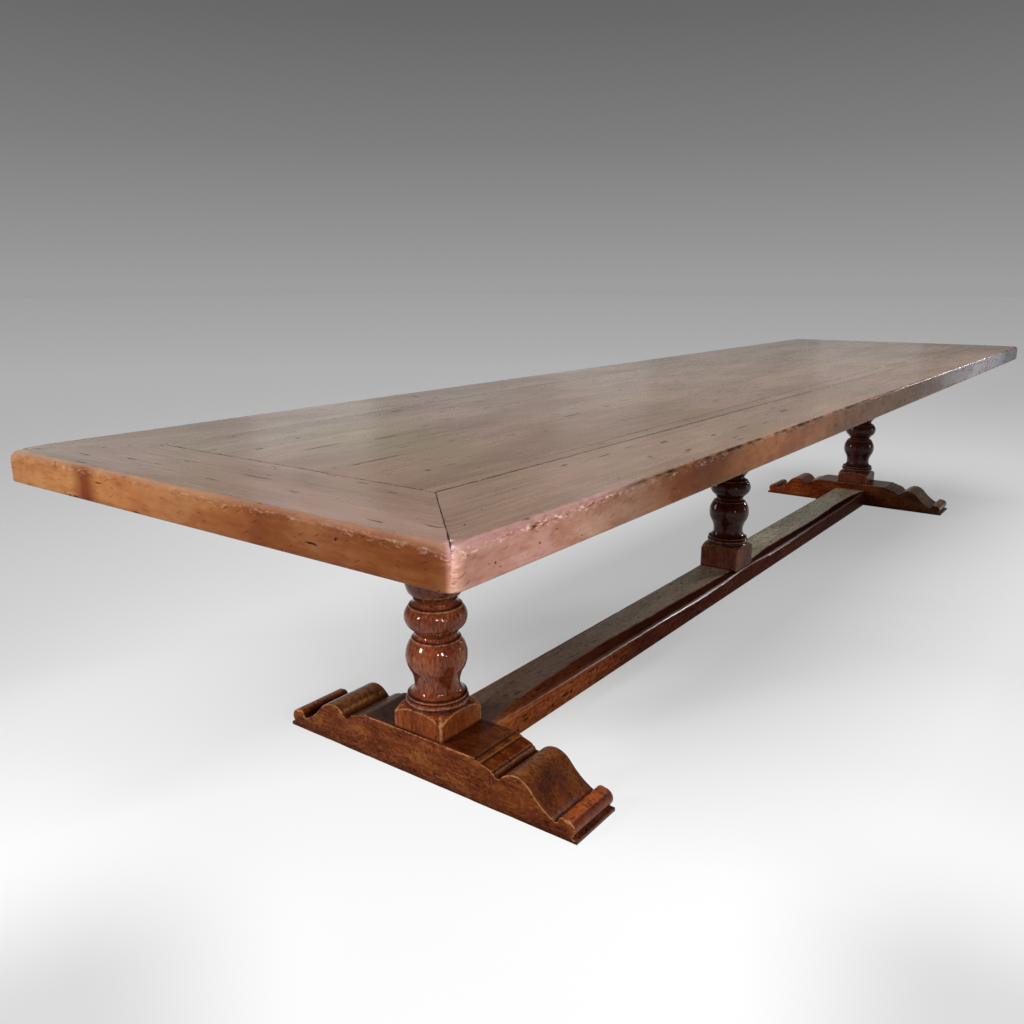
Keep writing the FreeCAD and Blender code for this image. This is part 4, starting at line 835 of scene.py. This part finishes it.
# pattern cells per metre along x, y and z: oak streaks of about 120 mm by 6 mm, steel blotches of 8 mm
oak = ("#3a2010", "#5c3620", "#7d5030")
inner = {
    "plain_oak_along": innerFinish("plain_oak_along", oak, (8, 160, 160), (0.5, 0.7), 0.0),
    "plain_oak_across": innerFinish("plain_oak_across", oak, (160, 8, 160), (0.5, 0.7), 0.0),
    "dull_steel": innerFinish("dull_steel", ("#3c3a38", "#5a5754", "#74706c"), (120, 120, 120), (0.35, 0.55), 1.0),
}
for nodeName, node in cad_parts.items():
    isSteel = nodeName.endswith(("bolts", "screws"))
    across = nodeName.startswith("bearer") or nodeName in ("tongue_left", "tongue_right")
    finish = inner["dull_steel" if isSteel else "plain_oak_across" if across else "plain_oak_along"]
    for holder in node.material_slots:
        holder.material = finish
print("inner finishes made")


def seenRays(add):
    # 1 for what the camera sees straight, mirrored or through glass, 0 for light on its way to a matt surface
    ray = add("LightPath", output=None)
    seen = add("Math", (ray["Is Camera Ray"], ray["Is Glossy Ray"]), operation="MAXIMUM")
    return add("Math", (seen, ray["Is Transmission Ray"]), operation="MAXIMUM")


def makeFloor():
    # a pale sheet, brightest near the photograph's viewpoint; what is seen of it glows in part, so shadows stay light
    floor = {
        "size": 80.0, "bounce": "#4a4a4a",
        "standing": (-3.0177, -1.2527, 0.0), "ahead": (0.803, 0.596, 0.0), "aside": (0.596, -0.803, 0.0),
        # by nearness, which is one over the distance in metres: colour, share that glows, greying of the open side
        "paper": [(0.0, "#c1c1c1"), (0.08, "#d4d4d4"), (0.143, "#d2d2d2"), (0.207, "#d5d5d5"), (0.272, "#d8d8d8"),
                  (0.36, "#dcdcdc"), (0.485, "#f8f8f8"), (0.54, "#ffffff"), (0.72, "#ffffff")],
        "glow": [(0.40, 0.58), (0.485, 0.72), (0.54, 0.80), (0.66, 0.90), (0.72, 0.93)],
        "openSide": [(0.36, 0), (0.42, 0.04), (0.485, 0.11), (0.54, 0.11), (0.6, 0.06), (0.66, 0.01), (0.72, 0)],
        "deepest": 0.16,      # where the shadow is deepest, across the table
    }
    mesh = bpy.data.meshes.new("floor")
    size = floor["size"]
    mesh.from_pydata([(-size, -size, 0), (size, -size, 0), (size, size, 0), (-size, size, 0)], [], [(0, 1, 2, 3)])
    holder = addObject("floor", mesh)
    material, add = newFinish("pale_paper_floor")
    seen = seenRays(add)
    place = add("TexCoord", output="Object")
    away = add("VectorMath", (place, floor["standing"]), operation="DISTANCE", output="Value")
    offset = add("VectorMath", (place, floor["standing"]), operation="SUBTRACT")
    ahead, aside = (add("VectorMath", (offset, floor[way]), operation="DOT_PRODUCT", output="Value")
                    for way in ("ahead", "aside"))
    slope = add("Math", (aside, ahead), operation="DIVIDE")
    steep = add("Math", (slope,), operation="ABSOLUTE")
    parts = add("SeparateXYZ", (place,), output=None)
    beside = add("Math", (parts[1], floor["deepest"]), operation="SUBTRACT")
    beside = add("Math", (beside,), operation="ABSOLUTE")
    # smooth masks, each with where it starts and ends and its two values: in front of the viewpoint, to its right,
    # out to both sides, beside the deepest shadow, beyond the near end of the rail and before it
    facing, right, edge, deep, beyond, before = (
        add("MapRange", limits, interpolation_type="SMOOTHSTEP") for limits in (
            (ahead, 0.2, 1.1, 0.0, 1.0), (slope, 0.03, 0.2, 0.0, 1.0), (steep, 0.26, 0.6, 0.0, 0.28),
            (beside, 0.08, 0.4, 0.16, 0.0), (parts[0], -0.9, -0.3, 1.0, 0.1), (parts[0], -1.72, -1.5, 0.0, 1.0)))
    nearness = add("Math", (facing, away), operation="DIVIDE")
    paper, share, openness = (add("ValToRGB", {"Fac": nearness}, ramp=floor[key])
                              for key in ("paper", "glow", "openSide"))
    # the sheet is greyer out to both sides of the nearest part
    close = add("MapRange", (nearness, 0.54, 0.74), interpolation_type="SMOOTHSTEP")
    grey = add("Math", (edge, close), operation="MULTIPLY")
    grey = add("Math", (right, openness, grey), operation="MULTIPLY_ADD")
    paper = add("Mix", {0: grey, 6: paper, 7: "#000000"}, data_type="RGBA", output=2)
    # less of it glows close to the near end of the rail, where the shadow is deepest
    for mask in (beyond, before):
        deep = add("Math", (deep, mask), operation="MULTIPLY")
    share = add("Math", (share, deep), operation="SUBTRACT")
    glow = add("Math", (seen, share), operation="MULTIPLY")
    sheet = add("Mix", {0: seen, 6: floor["bounce"], 7: paper}, data_type="RGBA", output=2)
    matt = add("BsdfDiffuse", {"Color": sheet})
    light = add("Emission", {"Color": paper, "Strength": 1.0})
    mixed = add("MixShader", (glow, matt, light))
    add("OutputMaterial", {"Surface": mixed}, output=None)
    mesh.materials.append(material)


def makeWorld():
    # what is seen and mirrored is a grey backdrop that darkens upwards; matt surfaces get an even light
    world = bpy.data.worlds.new("studio")
    scene.world = world
    world.use_nodes = True
    world.node_tree.nodes.clear()
    add = partial(addNode, world.node_tree)
    seen = seenRays(add)
    direction = add("TexCoord", output="Generated")
    height = add("SeparateXYZ", (direction,), output=2)
    backdrop = add("ValToRGB", {"Fac": height}, ramp=[
        (0.0, "#9e9e9e"), (0.04, "#959595"), (0.141, "#7e7e7e"), (0.25, "#696969"), (0.30, "#626262")])
    color = add("Mix", {0: seen, 6: "#6a6a6a", 7: backdrop}, data_type="RGBA", output=2)
    light = add("Background", {"Color": color, "Strength": 1.0})
    add("OutputWorld", {"Surface": light}, output=None)


def makeLamp(name, place, target, size, power, angle=180):
    # an area lamp that the camera does not see; a narrow angle keeps its light to one end of the table
    lamp = bpy.data.lights.new(name, "AREA")
    lamp.shape = "RECTANGLE"
    lamp.size, lamp.size_y = size
    lamp.energy = power
    lamp.spread = math.radians(angle)
    holder = addObject(name, lamp)
    aim = (Vector(target) - Vector(place)).to_track_quat("-Z", "Y")
    holder.matrix_world = Matrix.Translation(place) @ aim.to_matrix().to_4x4()
    holder.visible_camera = False


def makeCamera():
    # the photograph's viewpoint: place in metres, angles in radians, lens in millimetres
    view = {"place": (-3.0177, -1.2527, 1.0802), "down": 0.2495, "turn": 0.639, "roll": -0.0019, "lens": 31.41}
    data = bpy.data.cameras.new("camera")
    data.lens = view["lens"]
    data.sensor_width = 36.0
    holder = addObject("camera", data)
    level = math.cos(view["down"])
    ahead = Vector((level * math.cos(view["turn"]), level * math.sin(view["turn"]), -math.sin(view["down"])))
    right = Vector((math.sin(view["turn"]), -math.cos(view["turn"]), 0))
    up = right.cross(ahead)
    rolledRight = right * math.cos(view["roll"]) + up * math.sin(view["roll"])
    rolledUp = up * math.cos(view["roll"]) - right * math.sin(view["roll"])
    turn = Matrix((rolledRight, rolledUp, -ahead)).transposed()
    holder.matrix_world = Matrix.Translation(view["place"]) @ turn.to_4x4()
    scene.camera = holder


makeFloor()
makeWorld()
# name, place, target, size in metres, power in watts, spread in degrees
for lamp in (
        ("ceiling_softbox", (0.0, -0.4, 4.2), (0.0, -0.4, 0), (6, 3), 260),
        ("window_left", (-3.93, 1.09, 1.45), (-2.2, 0.1, 0.55), (0.35, 0.7), 9.3, 80),
        ("window_front_a", (-2.93, -1.51, 0.98), (-1.75, -0.1, 0.42), (0.12, 0.25), 0.8, 50),
        ("window_front_b", (-2.48, -1.80, 0.98), (-1.8, 0.0, 0.42), (0.12, 0.25), 0.8, 50),
        ("window_front_c", (-2.6, -4.2, 1.3), (0.0, 0.0, 0.4), (0.2, 0.4), 9),
        ("window_right", (3.4, -3.9, 1.1), (0.4, 0, 0.4), (0.5, 1.0), 12),
        ("window_right_low", (2.75, -1.2, 1.3), (-0.45, -0.07, 0.06), (0.2, 0.5), 1.1, 25),
        ("window_back", (-1.0, 3.6, 1.4), (1.4, 0.3, 0.1), (0.6, 1.2), 5, 60),
        ("window_far_a", (1.55, 4.05, 1.9), (-1.9, 0.3, 0.77), (0.9, 1.6), 1.0),
        ("window_far_b", (4.7, 3.35, 2.1), (-1.0, 0.1, 0.77), (0.9, 1.6), 0.6),
        ("window_far_c", (5.7, 1.1, 1.6), (0.5, 0, 0.77), (0.9, 1.6), 0.6)):
    makeLamp(*lamp)
makeCamera()
print("stage, light and camera made")
